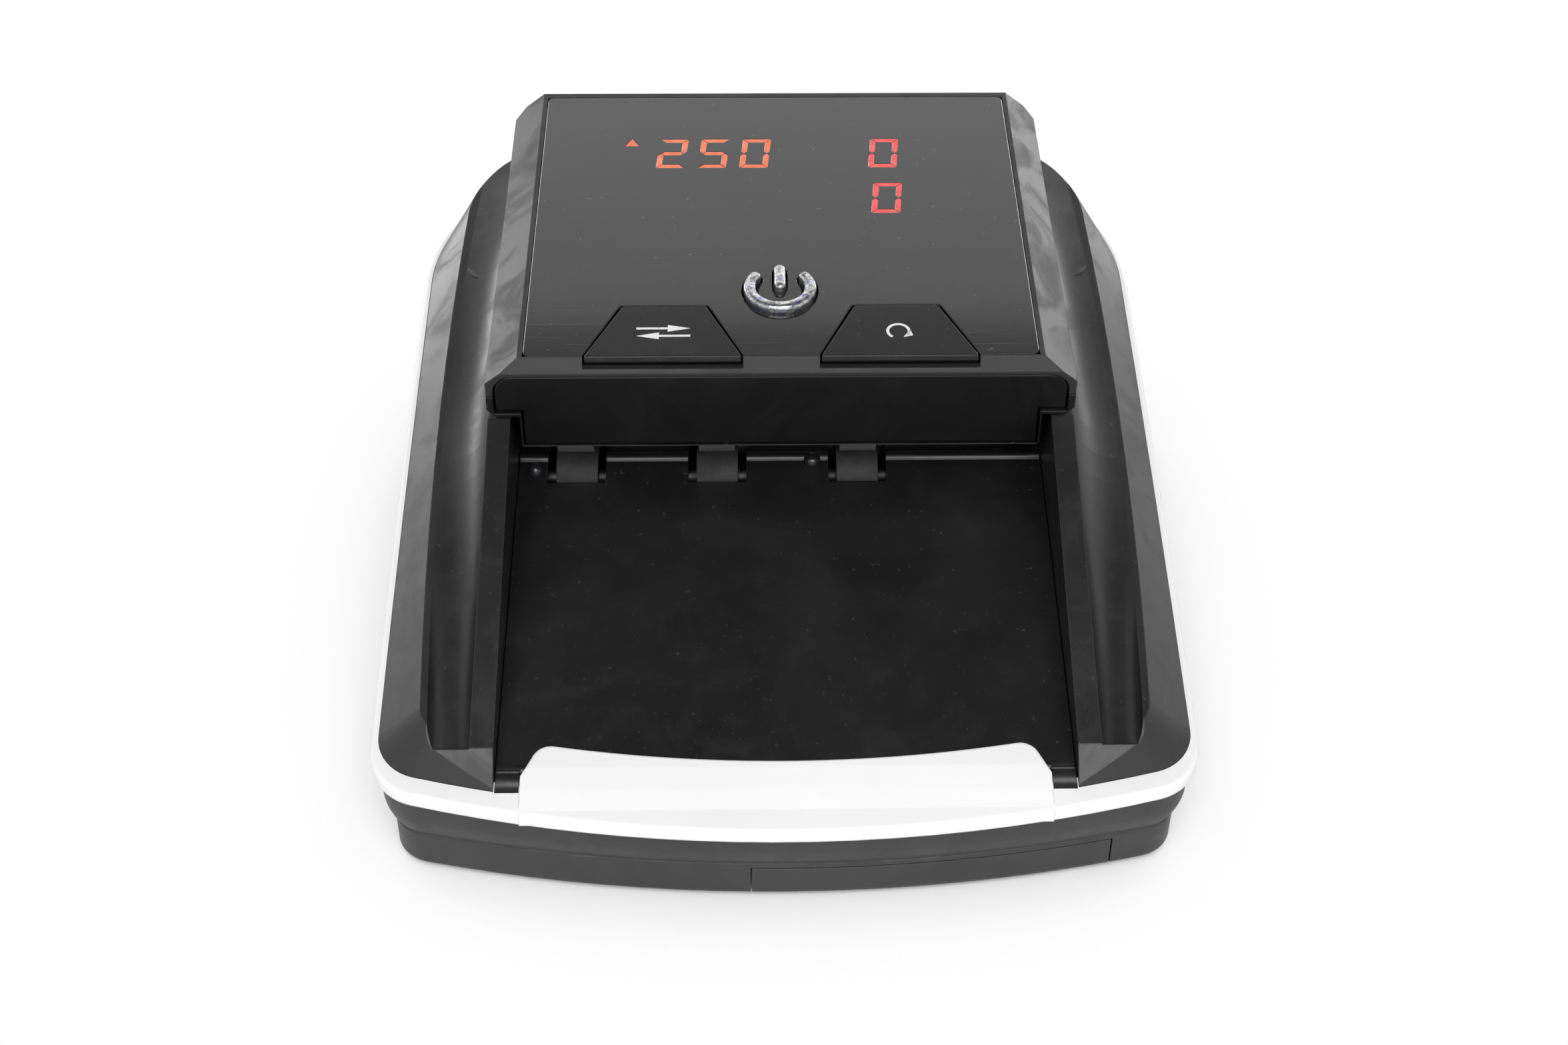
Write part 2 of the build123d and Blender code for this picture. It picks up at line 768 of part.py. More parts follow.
with BuildPart() as case_screws:
    for x, y in case_screw_places:
        seat = trim_over(y) - 2 * wall - seam
        with Locations((x, y, seat - screw_head_height)):
            Cylinder(screw_head_radius, screw_head_height, align=upright)
            Cylinder(screw_radius, screw_head_height + wall + screw_reach, align=upright)
            Box(0.6, 2 * screw_radius, 1.6, mode=Mode.SUBTRACT)
            Box(2 * screw_radius, 0.6, 1.6, mode=Mode.SUBTRACT)
finish(case_screws, "case_screws")

with BuildPart() as board_screws:
    for x, y in board_posts:
        with Locations((x, y, board_top)):
            Cylinder(small_head, small_head_height, align=upright)
        with Locations((x, y, board_low - wall)):
            Cylinder(small_screw, board_thick + wall + seam, align=upright)
finish(board_screws, "board_screws")


# ---------------------------------------------------------------- battery
flange_low = deck_low + bore_gap
flange_thick = 1.0
flange_span = (front + 18.0, cover_back - 2.0)
grip_front = flange_span[0] + 8.0       # finger grooves under the cover
grip_across = (cover_left + 19.3, cover_right - 19.5)
grip_count = 4
grip_pitch = 3.0
grip_width = 1.0
grip_deep = 0.5

with BuildPart() as battery_cover:
    add(base_solid())
    block((-half, half), (front, rear), (cover_top - cover_gap, above_all), mode=Mode.SUBTRACT)
    block((-half, cover_left), (front, rear), (0, above_all), mode=Mode.SUBTRACT)
    block((cover_right, half), (front, rear), (0, above_all), mode=Mode.SUBTRACT)
    block((-half, half), (cover_back - wall / 2 - cover_gap, rear), (0, above_all), mode=Mode.SUBTRACT)
    body_slab(plinth_inset + wall, deck_low, above_all, mode=Mode.SUBTRACT)
    for x in (cover_left, cover_right - wall):
        block((x, x + wall), flange_span, (deck_low - seam, flange_low + flange_thick))
    for x in (cover_left - bay_flange, cover_right - wall):
        block((x, x + bay_flange + wall), flange_span, (flange_low, flange_low + flange_thick))
    for i in range(grip_count):
        low = grip_front + i * grip_pitch
        block(grip_across, (low, low + grip_width), (base_under, base_under + grip_deep), mode=Mode.SUBTRACT)
finish(battery_cover, "battery_cover")

battery_middle = (cover_left + cover_right) / 2

with BuildPart() as battery_pack:
    with Locations((battery_middle, battery_front + battery_size[1] / 2, deck_low)):
        Box(*battery_size, align=upright)
    fillet(battery_pack.edges().filter_by(Axis.X), 1.6)
finish(battery_pack, "battery_pack")

with BuildPart() as battery_contacts:
    for x in (battery_middle - 12.0, battery_middle + 12.0):
        block((x - 3.0, x + 3.0), (cover_back - 0.8, cover_back), (deck_low + 2.0, bay_top - 1.0))
        slab_x(
            [
                (cover_back - 0.8, deck_low + 4.0),
                (battery_front + battery_size[1], deck_low + 5.5),
                (cover_back - 0.8, deck_low + 7.0),
            ],
            (x - 2.0, x + 2.0),
        )
finish(battery_contacts, "battery_contacts")


# ---------------------------------------------------------------- chassis
deck_half = tray_half - 0.4
cheek_outer = tray_half - 1.7
cheek_inner = cheek_outer - wall
cheek_span = (roller_axis_y - 5.0, exit_axis_y + 6.0)
belt_feed_x = cheek_inner - 8.1         # belt between the two roller shafts
belt_motor_x = cheek_inner - 3.6        # belt from the motor
bush_radius = 3.2
bush_flange = 0.6
shaft_half = cheek_outer + 0.8
glass_span = (roller_axis_y + 15.0, roller_axis_y + 27.0)
glass_middle = (glass_span[0] + glass_span[1]) / 2
glass_half = tray_half - 8.3
glass_thick = 0.8
glass_ledge = 1.5
sensor_board_right = belt_feed_x - 2.7  # clear of the transfer belt
sensor_pitch = 8.0
sensor_half = 1.5
sensor_first = 2 * glass_ledge - glass_half
sensor_count = int((sensor_board_right - sensor_first - sensor_half) / sensor_pitch) + 1
deck_under = path_height - deck_thick
shaft_ys = (roller_axis_y, exit_axis_y)

with BuildPart() as lower_chassis:
    block((-deck_half, deck_half), (tray_end + seam, rear), (deck_under, path_height))
    body_slab(step_inset + wall + seam, 0, above_all, mode=Mode.INTERSECT)
    for side in (-1, 1):
        span = sorted((side * cheek_inner, side * cheek_outer))
        block(span, (tray_end + seam, cheek_span[1]), (cheek_low, deck_under + seam))
        block(span, (cheek_span[0], tray_end + 2 * seam), (cheek_low, trough_low))
    for x, y in cheek_posts:
        side = 1 if x > 0 else -1
        block(sorted((x - side * 4.0, side * cheek_outer)), (y - 4.0, y + 4.0), (cheek_low, cheek_low + 1.6))
        with Locations((x, y, cheek_low)):
            Cylinder(small_screw + bore_gap, 2 * wall, mode=Mode.SUBTRACT)
    for y in shaft_ys:
        rod_x(y, axis_height, bush_radius, (-half, half), mode=Mode.SUBTRACT)
    for x in roller_xs:
        clear = roller_width / 2 + slot_side
        reach = roller_radius + slot_end
        for y in shaft_ys:
            span = (y - reach, y + reach)
            block((x - clear, x + clear), span, (deck_under - seam, above_all), mode=Mode.SUBTRACT)
    block((-glass_half, glass_half), glass_span, (path_height - glass_thick, above_all), mode=Mode.SUBTRACT)
    block(
        (-glass_half + glass_ledge, glass_half - glass_ledge),
        (glass_span[0] + glass_ledge, glass_span[1] - glass_ledge),
        (deck_under - seam, above_all),
        mode=Mode.SUBTRACT,
    )
finish(lower_chassis, "lower_chassis")

with BuildPart() as chassis_screws:
    for x, y in cheek_posts:
        with Locations((x, y, cheek_low + 1.6)):
            Cylinder(small_head, small_head_height, align=upright)
        with Locations((x, y, cheek_low - 2 * wall)):
            Cylinder(small_screw, 1.6 + 2 * wall + seam, align=upright)
finish(chassis_screws, "chassis_screws")

with BuildPart() as lower_sensor_glass:
    block((-glass_half, glass_half), glass_span, (path_height - glass_thick, path_height))
finish(lower_sensor_glass, "lower_sensor_glass")

with BuildPart() as lower_sensor_board:
    block(
        (-glass_half - wall, sensor_board_right),
        (glass_span[0] - wall, glass_span[1] + wall),
        (deck_under - board_thick, deck_under),
    )
    for i in range(sensor_count):
        x = sensor_first + i * sensor_pitch
        block(
            (x - sensor_half, x + sensor_half),
            (glass_middle - 1.0, glass_middle + 1.0),
            (deck_under - seam, deck_under + contact_gap),
        )
finish(lower_sensor_board, "lower_sensor_board")


# ---------------------------------------------------------------- feed drive
hub_radius = 4.5
pulley_radius = 3.2
pulley_rim = 4.0
motor_pulley_radius = 2.2
motor_rim = 3.0
belt_thick = 0.7
belt_width = 2.4
motor_y = roller_axis_y + 27.0
motor_radius = 10.0
motor_z = deck_low + motor_radius + 1.4
motor_length = 38.0
motor_boss = 3.0            # hole for the bearing boss of the motor
motor_shaft_radius = 1.15
bracket = (belt_motor_x - 11.0, belt_motor_x - 9.4)
motor_span = (bracket[0] - motor_length, bracket[0])


def shaft(y, z, radius, reach, name):
    with BuildPart() as piece:
        rod_x(y, z, radius, (-reach, reach))
        chamfer(piece.edges(), 0.3)
    finish(piece, name)
    return piece


def rings(y, z, outer, inner, width, name):
    """One ring per roller position on a shaft."""
    with BuildPart() as piece:
        for x in roller_xs:
            rod_x(y, z, outer, (x - width / 2, x + width / 2))
        rod_x(y, z, inner, (-half, half), mode=Mode.SUBTRACT)
    finish(piece, name)
    return piece


def pulley(y, z, radius, rim, bore, centres, name):
    """Flanged flat-belt pulley, one groove per belt."""
    side_plate = 0.3
    with BuildPart() as piece:
        for x in centres:
            low = x - belt_width / 2 - 2 * side_plate
            high = x + belt_width / 2 + 2 * side_plate
            rod_x(y, z, radius, (low, high))
            rod_x(y, z, rim, (low, low + side_plate))
            rod_x(y, z, rim, (high - side_plate, high))
        if len(centres) > 1:
            rod_x(y, z, radius, (min(centres), max(centres)))
        rod_x(y, z, bore, (-half, half), mode=Mode.SUBTRACT)
    finish(piece, name)
    return piece


def belt(x, start, end, name):
    """Flat belt round two pulleys, each given as (y, z, radius)."""
    with BuildPart() as piece:
        loops = []
        for grow in (contact_gap + belt_thick, contact_gap):
            with BuildSketch(Plane.YZ.offset(x - belt_width / 2)) as loop:
                for y, z, radius in (start, end):
                    with Locations((y, z)):
                        Circle(radius + grow)
                make_hull()
            loops.append(loop.sketch)
        extrude(loops[0], amount=belt_width)
        extrude(loops[1], amount=belt_width, mode=Mode.SUBTRACT)
    finish(piece, name)
    return piece


feed_shaft = shaft(roller_axis_y, axis_height, shaft_radius, shaft_half, "feed_shaft")
exit_shaft = shaft(exit_axis_y, axis_height, shaft_radius, shaft_half, "exit_shaft")
feed_hubs = rings(roller_axis_y, axis_height, hub_radius, shaft_radius, roller_width, "feed_hubs")
exit_hubs = rings(exit_axis_y, axis_height, hub_radius, shaft_radius, roller_width, "exit_hubs")
feed_tyres = rings(roller_axis_y, axis_height, roller_radius, hub_radius, roller_width, "feed_tyres")
exit_tyres = rings(exit_axis_y, axis_height, roller_radius, hub_radius, roller_width, "exit_tyres")

with BuildPart() as shaft_bushes:
    for y in shaft_ys:
        for side in (-1, 1):
            rod_x(y, axis_height, bush_radius, sorted((side * cheek_inner, side * cheek_outer)))
            flange = sorted((side * (cheek_inner - bush_flange), side * cheek_inner))
            rod_x(y, axis_height, bush_radius + bush_flange, flange)
        rod_x(y, axis_height, shaft_radius + bore_gap, (-half, half), mode=Mode.SUBTRACT)
finish(shaft_bushes, "shaft_bushes")

feed_pulley = pulley(
    roller_axis_y,
    axis_height,
    pulley_radius,
    pulley_rim,
    shaft_radius,
    (belt_feed_x, belt_motor_x),
    "feed_pulley",
)
exit_pulley = pulley(
    exit_axis_y,
    axis_height,
    pulley_radius,
    pulley_rim,
    shaft_radius,
    (belt_feed_x,),
    "exit_pulley",
)
motor_pulley = pulley(
    motor_y,
    motor_z,
    motor_pulley_radius,
    motor_rim,
    motor_shaft_radius,
    (belt_motor_x,),
    "motor_pulley",
)
feed_end = (roller_axis_y, axis_height, pulley_radius)
drive_belt = belt(belt_motor_x, feed_end, (motor_y, motor_z, motor_pulley_radius), "drive_belt")
transfer_belt = belt(belt_feed_x, feed_end, (exit_axis_y, axis_height, pulley_radius), "transfer_belt")

encoder_x = motor_span[0] - 5.0
encoder_radius = 8.0
encoder_half = 0.4
encoder_hub = 2.4
encoder_hub_half = 1.2
slit_count = 20
slit = (1.8, 0.8)
fork_half = 2.8             # light gate round the disc
fork_deep = 3.0
fork_gap = 1.0
fork_base = (6.0, 5.0, 1.0)
end_cap = 3.0
cap_radius = 5.0
tab_offset = 6.0
tab_half = (0.4, 1.2)

with BuildPart() as motor_can:
    rod_x(motor_y, motor_z, motor_radius, motor_span)
    edges = motor_can.edges().filter_by(GeomType.CIRCLE)
    fillet(edges, 1.0)
    rod_x(motor_y, motor_z, motor_shaft_radius + bore_gap, (-half, half), mode=Mode.SUBTRACT)
finish(motor_can, "motor_can")

with BuildPart() as motor_end_cap:
    rod_x(motor_y, motor_z, cap_radius, (motor_span[0] - end_cap, motor_span[0]))
    rod_x(motor_y, motor_z, motor_shaft_radius + bore_gap, (-half, half), mode=Mode.SUBTRACT)
    for y in (motor_y - tab_offset, motor_y + tab_offset):
        block(
            (motor_span[0] - end_cap - 1.0, motor_span[0]),
            (y - tab_half[0], y + tab_half[0]),
            (motor_z - tab_half[1], motor_z + tab_half[1]),
        )
finish(motor_end_cap, "motor_end_cap")

with BuildPart() as motor_bracket:
    plate = (motor_y - motor_radius - wall, motor_y + motor_radius + wall)
    block(bracket, plate, (deck_low, motor_z + motor_radius - wall))
    block((bracket[0] - 3 * wall, bracket[1]), plate, (deck_low, deck_low + deck_thick))
    rod_x(motor_y, motor_z, motor_boss, (-half, half), mode=Mode.SUBTRACT)
finish(motor_bracket, "motor_bracket")

with BuildPart() as motor_shaft:
    rod_x(motor_y, motor_z, motor_shaft_radius, (encoder_x - wall, belt_motor_x + wall))
finish(motor_shaft, "motor_shaft")

with BuildPart() as encoder_disc:
    rod_x(motor_y, motor_z, encoder_radius, (encoder_x - encoder_half, encoder_x + encoder_half))
    rod_x(motor_y, motor_z, encoder_hub, (encoder_x - encoder_hub_half, encoder_x + encoder_hub_half))
    with BuildSketch(Plane.YZ.offset(encoder_x - wall)) as slits:
        with Locations((motor_y, motor_z)):
            with PolarLocations(encoder_radius - slit[0], slit_count):
                Rectangle(*slit)
    extrude(slits.sketch, amount=2 * wall, mode=Mode.SUBTRACT)
    rod_x(motor_y, motor_z, motor_shaft_radius, (-half, half), mode=Mode.SUBTRACT)
finish(encoder_disc, "encoder_disc")

with BuildPart() as encoder_sensor:
    top = motor_z - encoder_radius + slit[0] + slit[1]
    deep = (motor_y - fork_deep, motor_y + fork_deep)
    block((encoder_x - fork_half, encoder_x + fork_half), deep, (deck_low + fork_base[2], top))
    block(
        (encoder_x - fork_gap, encoder_x + fork_gap),
        (motor_y - encoder_radius, motor_y + encoder_radius),
        (motor_z - encoder_radius - fork_gap, top),
        mode=Mode.SUBTRACT,
    )
    block(
        (encoder_x - fork_base[0], encoder_x + fork_base[0]),
        (motor_y - fork_base[1], motor_y + fork_base[1]),
        (deck_low, deck_low + fork_base[2]),
    )
finish(encoder_sensor, "encoder_sensor")


# ---------------------------------------------------------------- electronics in the base
# x, distance from the board's front edge, then the size of each part
chips = [(-8.0, 10.0, 12.0, 12.0, 1.4), (-24.0, 12.0, 9.0, 6.0, 1.5), (12.0, 6.0, 5.0, 4.0, 1.2)]
capacitors = [(26.0, 8.0, 3.2, 8.0), (-16.0, 3.5, 2.5, 6.0), (4.0, 19.0, 2.5, 6.0)]
socket_xs = (-22.0, -10.0)
socket_size = (8.0, 3.0, 4.5)

with BuildPart() as main_board:
    block((-board_half, board_half), board_span, (board_low, board_top))
    for x, y in board_posts:
        with Locations((x, y, board_low)):
            Cylinder(small_screw, 4 * wall, mode=Mode.SUBTRACT)
finish(main_board, "main_board")

with BuildPart() as board_components:
    for x, y, long, deep, high in chips:
        middle = board_front + y
        span = (middle - deep / 2, middle + deep / 2)
        block((x - long / 2, x + long / 2), span, (board_top, board_top + high))
    for x, y, radius, high in capacitors:
        with Locations((x, board_front + y, board_top)):
            Cylinder(radius, high, align=upright)
    for x in socket_xs:
        block(
            (x - socket_size[0] / 2, x + socket_size[0] / 2),
            (board_span[1] - wall - 2 * socket_size[1], board_span[1] - wall - socket_size[1]),
            (board_top, board_top + socket_size[2]),
        )
finish(board_components, "board_components")

jack_face = rear - 3.0
jack_body = jack_face - 2.6
jack_back = jack_body - 10.4
plug_bore = 2.75
plug_pin = 1.0
plug_depth = 9.0
port_face = rear - 2.4
port_back = port_face - 9.6
port_wall = 0.5
port_tongue = (1.1, 1.7)

with BuildPart() as dc_jack:
    block(
        (jack_x - jack_width / 2, jack_x + jack_width / 2),
        (jack_back, jack_body),
        (board_top, board_top + jack_height),
    )
    with BuildSketch(Plane.XZ.offset(-jack_face)) as barrel:
        with Locations((jack_x, jack_z)):
            Circle(jack_radius)
    extrude(barrel.sketch, amount=jack_face - jack_body + seam)
    with BuildSketch(Plane.XZ.offset(-jack_face)) as socket:
        with Locations((jack_x, jack_z)):
            Circle(plug_bore)
            Circle(plug_pin, mode=Mode.SUBTRACT)
    extrude(socket.sketch, amount=plug_depth, mode=Mode.SUBTRACT)
finish(dc_jack, "dc_jack")

with BuildPart() as update_port:
    side = port_width / 2
    inside = side - 1.2 * port_wall
    tongue = inside - 0.8
    block((port_x - side, port_x + side), (port_back, port_face), (board_top, board_top + port_height))
    block(
        (port_x - inside, port_x + inside),
        (port_back + wall, rear),
        (board_top + port_wall, board_top + port_height - port_wall),
        mode=Mode.SUBTRACT,
    )
    block(
        (port_x - tongue, port_x + tongue),
        (port_back + wall / 2, port_face - port_wall),
        (board_top + port_tongue[0], board_top + port_tongue[1]),
    )
finish(update_port, "update_port")


# ---------------------------------------------------------------- head cover
web_under = 3.4             # underside of the cover's top, below the lens face
ear_plate = 2.0
cover_inner = head_half - wall
front_face = head_front - 0.2
nose_top = lens_front - frame_front
panel_back = head_front + 0.3 + panel_thick
panel_front = panel_back - panel_thick
panel_top = lens_front_height - 3.2
body_low = path_height + path_gap
panel_low = body_low + 6.6
slant_end = roller_axis_y + 1.4
back_bottom = head_rear - 8.0
back_step = hinge_height - 10.02
mid_rear = head_rear - 0.7
lug_slot = (lug[0] - contact_gap, lug[1] + contact_gap)
lug_slot_front = hinge_y - 4.1
lug_slot_top = hinge_height + lug_radius + contact_gap
rear_clip = 2.0
head_boss_x = head_half - 3.7
head_boss_ys = (head_front + 13.6, head_rear - 15.0)
head_boss_radius = 1.6
head_screw_radius = 0.8
head_screw_head = 1.4
key_x = 19.15
key_front_half = 12.6
key_back_half = 6.9
key_back = 12.4
key_gap = 0.35
key_rise = 0.2
key_thick = 2.2
key_travel = 0.6
key_wrap = 0.7              # the key face runs this far down the nose
key_stem = 1.5
stem_under = 3.1
power_s = 16.4              # distance of the power symbol from the lens's front edge
power_outer = 6.1
power_stroke = 2.1
power_open = 56.0           # half of the angle left open at the back of the ring
power_bar_half = 1.0
power_bar = (15.9, 22.2)
power_proud = 1.5
power_round = 0.8
power_disc = 6.4
power_disc_thick = 1.0
board_face = 6.0            # display board, below the lens face
display_board_thick = 1.2
display_board_half = lens_half - 0.1
display_board_span = (3.0, lens_length - 4.6)
display_post_x = lens_half - 4.7
display_posts = [(side * display_post_x, s) for s in (8.0, 56.0) for side in (-1, 1)]
digit_width = 5.0
digit_height = 8.7
digit_low = 51.6
digit_pitch = 7.4
digit_first = -21.5
digit_stroke = 0.95
digit_gap = 0.16
digit_lean = 5.0            # the figures lean to the right
digit_depth = 0.25
red_x = 16.2
red_lows = (38.1, 51.6)
marker = [(-27.1, 58.3), (-24.7, 58.3), (-25.9, 60.5)]
module_rim = 1.3            # housing of the figures, wider and taller than they are
module_top = digit_low + digit_height + module_rim
modules = [
    ((digit_first - module_rim, digit_first + 3 * digit_pitch), (digit_low - 2.0, module_top)),
    ((red_x - module_rim, red_x + digit_width + module_rim), (red_lows[0] - module_rim, module_top)),
]


def lens_sheet(depth):
    """Plane parallel to the lens face, below it by depth."""
    return lens_plane.offset(-depth)


def lens_block(x, s, depth, mode=Mode.ADD):
    """Box in lens coordinates: x, distance from the front edge, depth below the face."""
    with BuildSketch(lens_sheet(depth[1])) as face:
        with Locations(((x[0] + x[1]) / 2, (s[0] + s[1]) / 2)):
            Rectangle(x[1] - x[0], s[1] - s[0])
    extrude(face.sketch, amount=depth[1] - depth[0], mode=mode)


def lens_rod(x, s, radius, depth, mode=Mode.ADD):
    """Round bar normal to the lens face."""
    with BuildSketch(lens_sheet(depth[1])) as face:
        with Locations((x, s)):
            Circle(radius)
    extrude(face.sketch, amount=depth[1] - depth[0], mode=mode)


def key_plan(side, grow, depth, back, front_s=-3 * wall):
    """Trapezoid of a side key in the lens plane."""
    front_half = key_front_half + grow
    back_half = key_back_half + grow
    with BuildSketch(lens_sheet(depth)) as plan:
        with BuildLine():
            Polyline(
                (side * key_x - front_half, front_s),
                (side * key_x - front_half, 0),
                (side * key_x - back_half, back + grow),
                (side * key_x + back_half, back + grow),
                (side * key_x + front_half, 0),
                (side * key_x + front_half, front_s),
                close=True,
            )
        make_face()
        fillet(plan.vertices().sort_by(Axis.Y)[-2:], 0.8)
    return plan.sketch


def power_plan(grow, depth):
    """Ring open at the back with a bar, the usual power sign."""
    middle = power_outer - power_stroke / 2
    start = 90 + power_open
    with BuildSketch(lens_sheet(depth)) as plan:
        with Locations((0, power_s)):
            Circle(power_outer + grow)
            Circle(power_outer - power_stroke - grow, mode=Mode.SUBTRACT)
        far = 4 * power_outer
        lean = far * tan(radians(power_open))
        with BuildLine():
            Polyline((0, power_s), (-lean, power_s + far), (lean, power_s + far), close=True)
        make_face(mode=Mode.SUBTRACT)
        for side in (-1, 1):
            angle = radians(90 + side * power_open)
            with Locations((middle * cos(angle), power_s + middle * sin(angle))):
                Circle(power_stroke / 2 + grow)
        with Locations((0, (power_bar[0] + power_bar[1]) / 2)):
            SlotOverall(power_bar[1] - power_bar[0] + 2 * grow, 2 * (power_bar_half + grow), rotation=90)
    return plan.sketch


def segments(x, low, shown):
    """Seven-segment figure in lens coordinates; shown lists the lit segments."""
    stroke = digit_stroke
    ease = digit_gap / sqrt(2)
    middle = digit_height / 2
    across = digit_width - stroke
    centre = digit_width / 2
    flat = [(ease, 0), (digit_width - ease, 0), (across - ease, stroke), (stroke + ease, stroke)]
    upright_bar = [
        (0, middle + stroke / 2 + ease),
        (stroke / 2, middle + ease),
        (stroke, middle + stroke / 2 + ease),
        (stroke, digit_height - stroke - ease),
        (0, digit_height - ease),
    ]
    waist = [
        (stroke / 2 + ease, middle),
        (stroke + ease, middle - stroke / 2),
        (across - ease, middle - stroke / 2),
        (digit_width - stroke / 2 - ease, middle),
        (across - ease, middle + stroke / 2),
        (stroke + ease, middle + stroke / 2),
    ]

    def turned(points, across_too, over_too):
        """The same bar on the other side, at the other end, or both."""
        return [
            (2 * centre - px if across_too else px, 2 * middle - ps if over_too else ps)
            for px, ps in points
        ]

    bars = {
        "bottom": flat,
        "top": turned(flat, False, True),
        "middle": waist,
        "upper_left": upright_bar,
        "upper_right": turned(upright_bar, True, False),
        "lower_left": turned(upright_bar, False, True),
        "lower_right": turned(upright_bar, True, True),
    }
    lean = tan(radians(digit_lean))
    return [[(x + px + lean * ps, low + ps) for px, ps in bars[name]] for name in shown]


ring_names = ("top", "bottom", "upper_left", "lower_left", "upper_right", "lower_right")
count_figures = [
    ("top", "middle", "bottom", "upper_right", "lower_left"),
    ("top", "middle", "bottom", "upper_left", "lower_right"),
    ring_names,
]
count_shapes = [marker]
for i, shown in enumerate(count_figures):
    count_shapes += segments(digit_first + i * digit_pitch, digit_low, shown)
value_shapes = []
for low in red_lows:
    value_shapes += segments(red_x, low, ring_names)


def inlay(shapes, mode=Mode.ADD):
    """Flat shapes sunk flush in the lens face."""
    with BuildSketch(lens_sheet(digit_depth)) as plan:
        for points in shapes:
            with BuildLine():
                Polyline(*points, close=True)
            make_face()
    extrude(plan.sketch, amount=digit_depth, mode=mode)


def seam_height(y):
    return lens_height(y) - cover_drop


def cover_section(y):
    return [
        (-head_half, seam_height(y)),
        (-head_half, lens_height(y) - chamfer_drop),
        (-frame_half, lens_height(y)),
        (frame_half, lens_height(y)),
        (head_half, lens_height(y) - chamfer_drop),
        (head_half, seam_height(y)),
    ]


def cover_cavity(y):
    side_top = lens_height(y) - chamfer_drop - wall * 0.8
    return [
        (-cover_inner, seam_height(y) - wall),
        (-cover_inner, side_top),
        (-frame_half, lens_height(y) - web_under),
        (frame_half, lens_height(y) - web_under),
        (cover_inner, side_top),
        (cover_inner, seam_height(y) - wall),
    ]


def nose_cut(proud):
    """Everything in front of the leaning nose."""
    top = lens_height(nose_top)
    steps = [
        (nose_top - proud, above_all),
        (nose_top - proud, top + proud),
        (nose_top - nose_run - proud, top - nose_drop),
        (nose_top - nose_run - proud, 0),
        (front, 0),
        (front, above_all),
    ]
    slab_x(steps, (-half, half), mode=Mode.SUBTRACT)


def panel_plan(grow):
    """Front panel, narrower below the ears."""
    step = ledge_height(head_front) + ear_gap + 0.8
    with BuildSketch(Plane.XZ.offset(-panel_back)) as plan:
        with BuildLine():
            Polyline(
                (-panel_half - grow, panel_top + grow),
                (panel_half + grow, panel_top + grow),
                (panel_half + grow, step - grow),
                (mid_half - wall / 4 + grow, step - grow),
                (mid_half - wall / 4 + grow, panel_low - grow),
                (-mid_half + wall / 4 - grow, panel_low - grow),
                (-mid_half + wall / 4 - grow, step - grow),
                (-panel_half - grow, step - grow),
                close=True,
            )
        make_face()
        fillet(plan.vertices().sort_by(Axis.Y)[-2:], panel_radius + grow)
    return plan.sketch


nose_bottom = nose_top - nose_run
cover_front_wall = panel_back + wall

with BuildPart() as head_cover:
    prism_y(cover_section, (nose_bottom, head_rear))
    rear_edges = [e for e in head_cover.edges() if e.center().Y > head_rear - 1]
    upright_edges = [e for e in rear_edges if abs(e.tangent_at(0.5).Z) > 0.9]
    chamfer([e for e in upright_edges if abs(e.center().X) > cover_inner], rear_clip)
    nose_cut(0)
    prism_y(cover_cavity, (cover_front_wall, head_rear - wall), mode=Mode.SUBTRACT)
    for side in (-1, 1):
        for y in head_boss_ys:
            with Locations((side * head_boss_x, y, seam_height(y))):
                Cylinder(head_boss_radius, cover_drop - web_under + wall / 4, align=upright)
                Cylinder(head_screw_radius, 3.6, align=upright, mode=Mode.SUBTRACT)
    for x, s in display_posts:
        lens_rod(x, s, 2.2, (web_under - seam, board_face))
    lens_block(
        (-lens_half - seam, lens_half + seam),
        (-lens_gap, lens_length + lens_gap),
        (-wall, lens_thick),
        mode=Mode.SUBTRACT,
    )
    for side in (-1, 1):
        for depth, reach in ((key_thick, -key_gap), (key_wrap, -3 * wall)):
            plan = key_plan(side, key_gap, depth + key_travel + key_gap, key_back, reach)
            extrude(plan, amount=depth + key_travel + wall, mode=Mode.SUBTRACT)
        lens_rod(side * key_x, key_back / 2, key_stem + key_gap, (0, board_face), mode=Mode.SUBTRACT)
    lens_rod(0, power_s, power_disc + key_gap, (0, board_face), mode=Mode.SUBTRACT)
    for span, rows in modules:
        lens_block(
            (span[0] - contact_gap, span[1] + contact_gap),
            (rows[0] - contact_gap, rows[1] + contact_gap),
            (0, board_face),
            mode=Mode.SUBTRACT,
        )
    for x, s in display_posts:
        lens_rod(x, s, small_screw - 0.2, (web_under, board_face + seam), mode=Mode.SUBTRACT)
    extrude(panel_plan(seam), amount=2 * wall, mode=Mode.SUBTRACT)
    for side in (-1, 1):
        span = sorted((side * lug_slot[0], side * lug_slot[1]))
        block(span, (lug_slot_front, rear), (0, lug_slot_top), mode=Mode.SUBTRACT)
finish(head_cover, "head_cover")


# ---------------------------------------------------------------- lower body of the head
pinch_bore = pinch_shaft_radius + bore_gap
pinch_half = mid_half - 0.4
note_head = ((6.0 - glass_half, glass_half - 6.0), (exit_axis_y - 20.0, exit_axis_y - 12.0))
top_glass_z = (body_low + 0.1, body_low + wall)
web_thick = 2.2
web_gap = 0.5
web_low = lug[0] - web_gap
web_high = lug[1] + web_gap
web_spans = [(web_low - web_thick, web_low), (web_high, web_high + web_thick)]
pin_end = web_high + web_thick - 0.2
pinch_well = pinch_radius + 0.7         # free room round a pinch roller
web_front = hinge_y - 2.6
web_rear = hinge_y + 0.85
web_top = hinge_height + 2.6


def ear_under(y):
    return ledge_height(y) + ear_gap


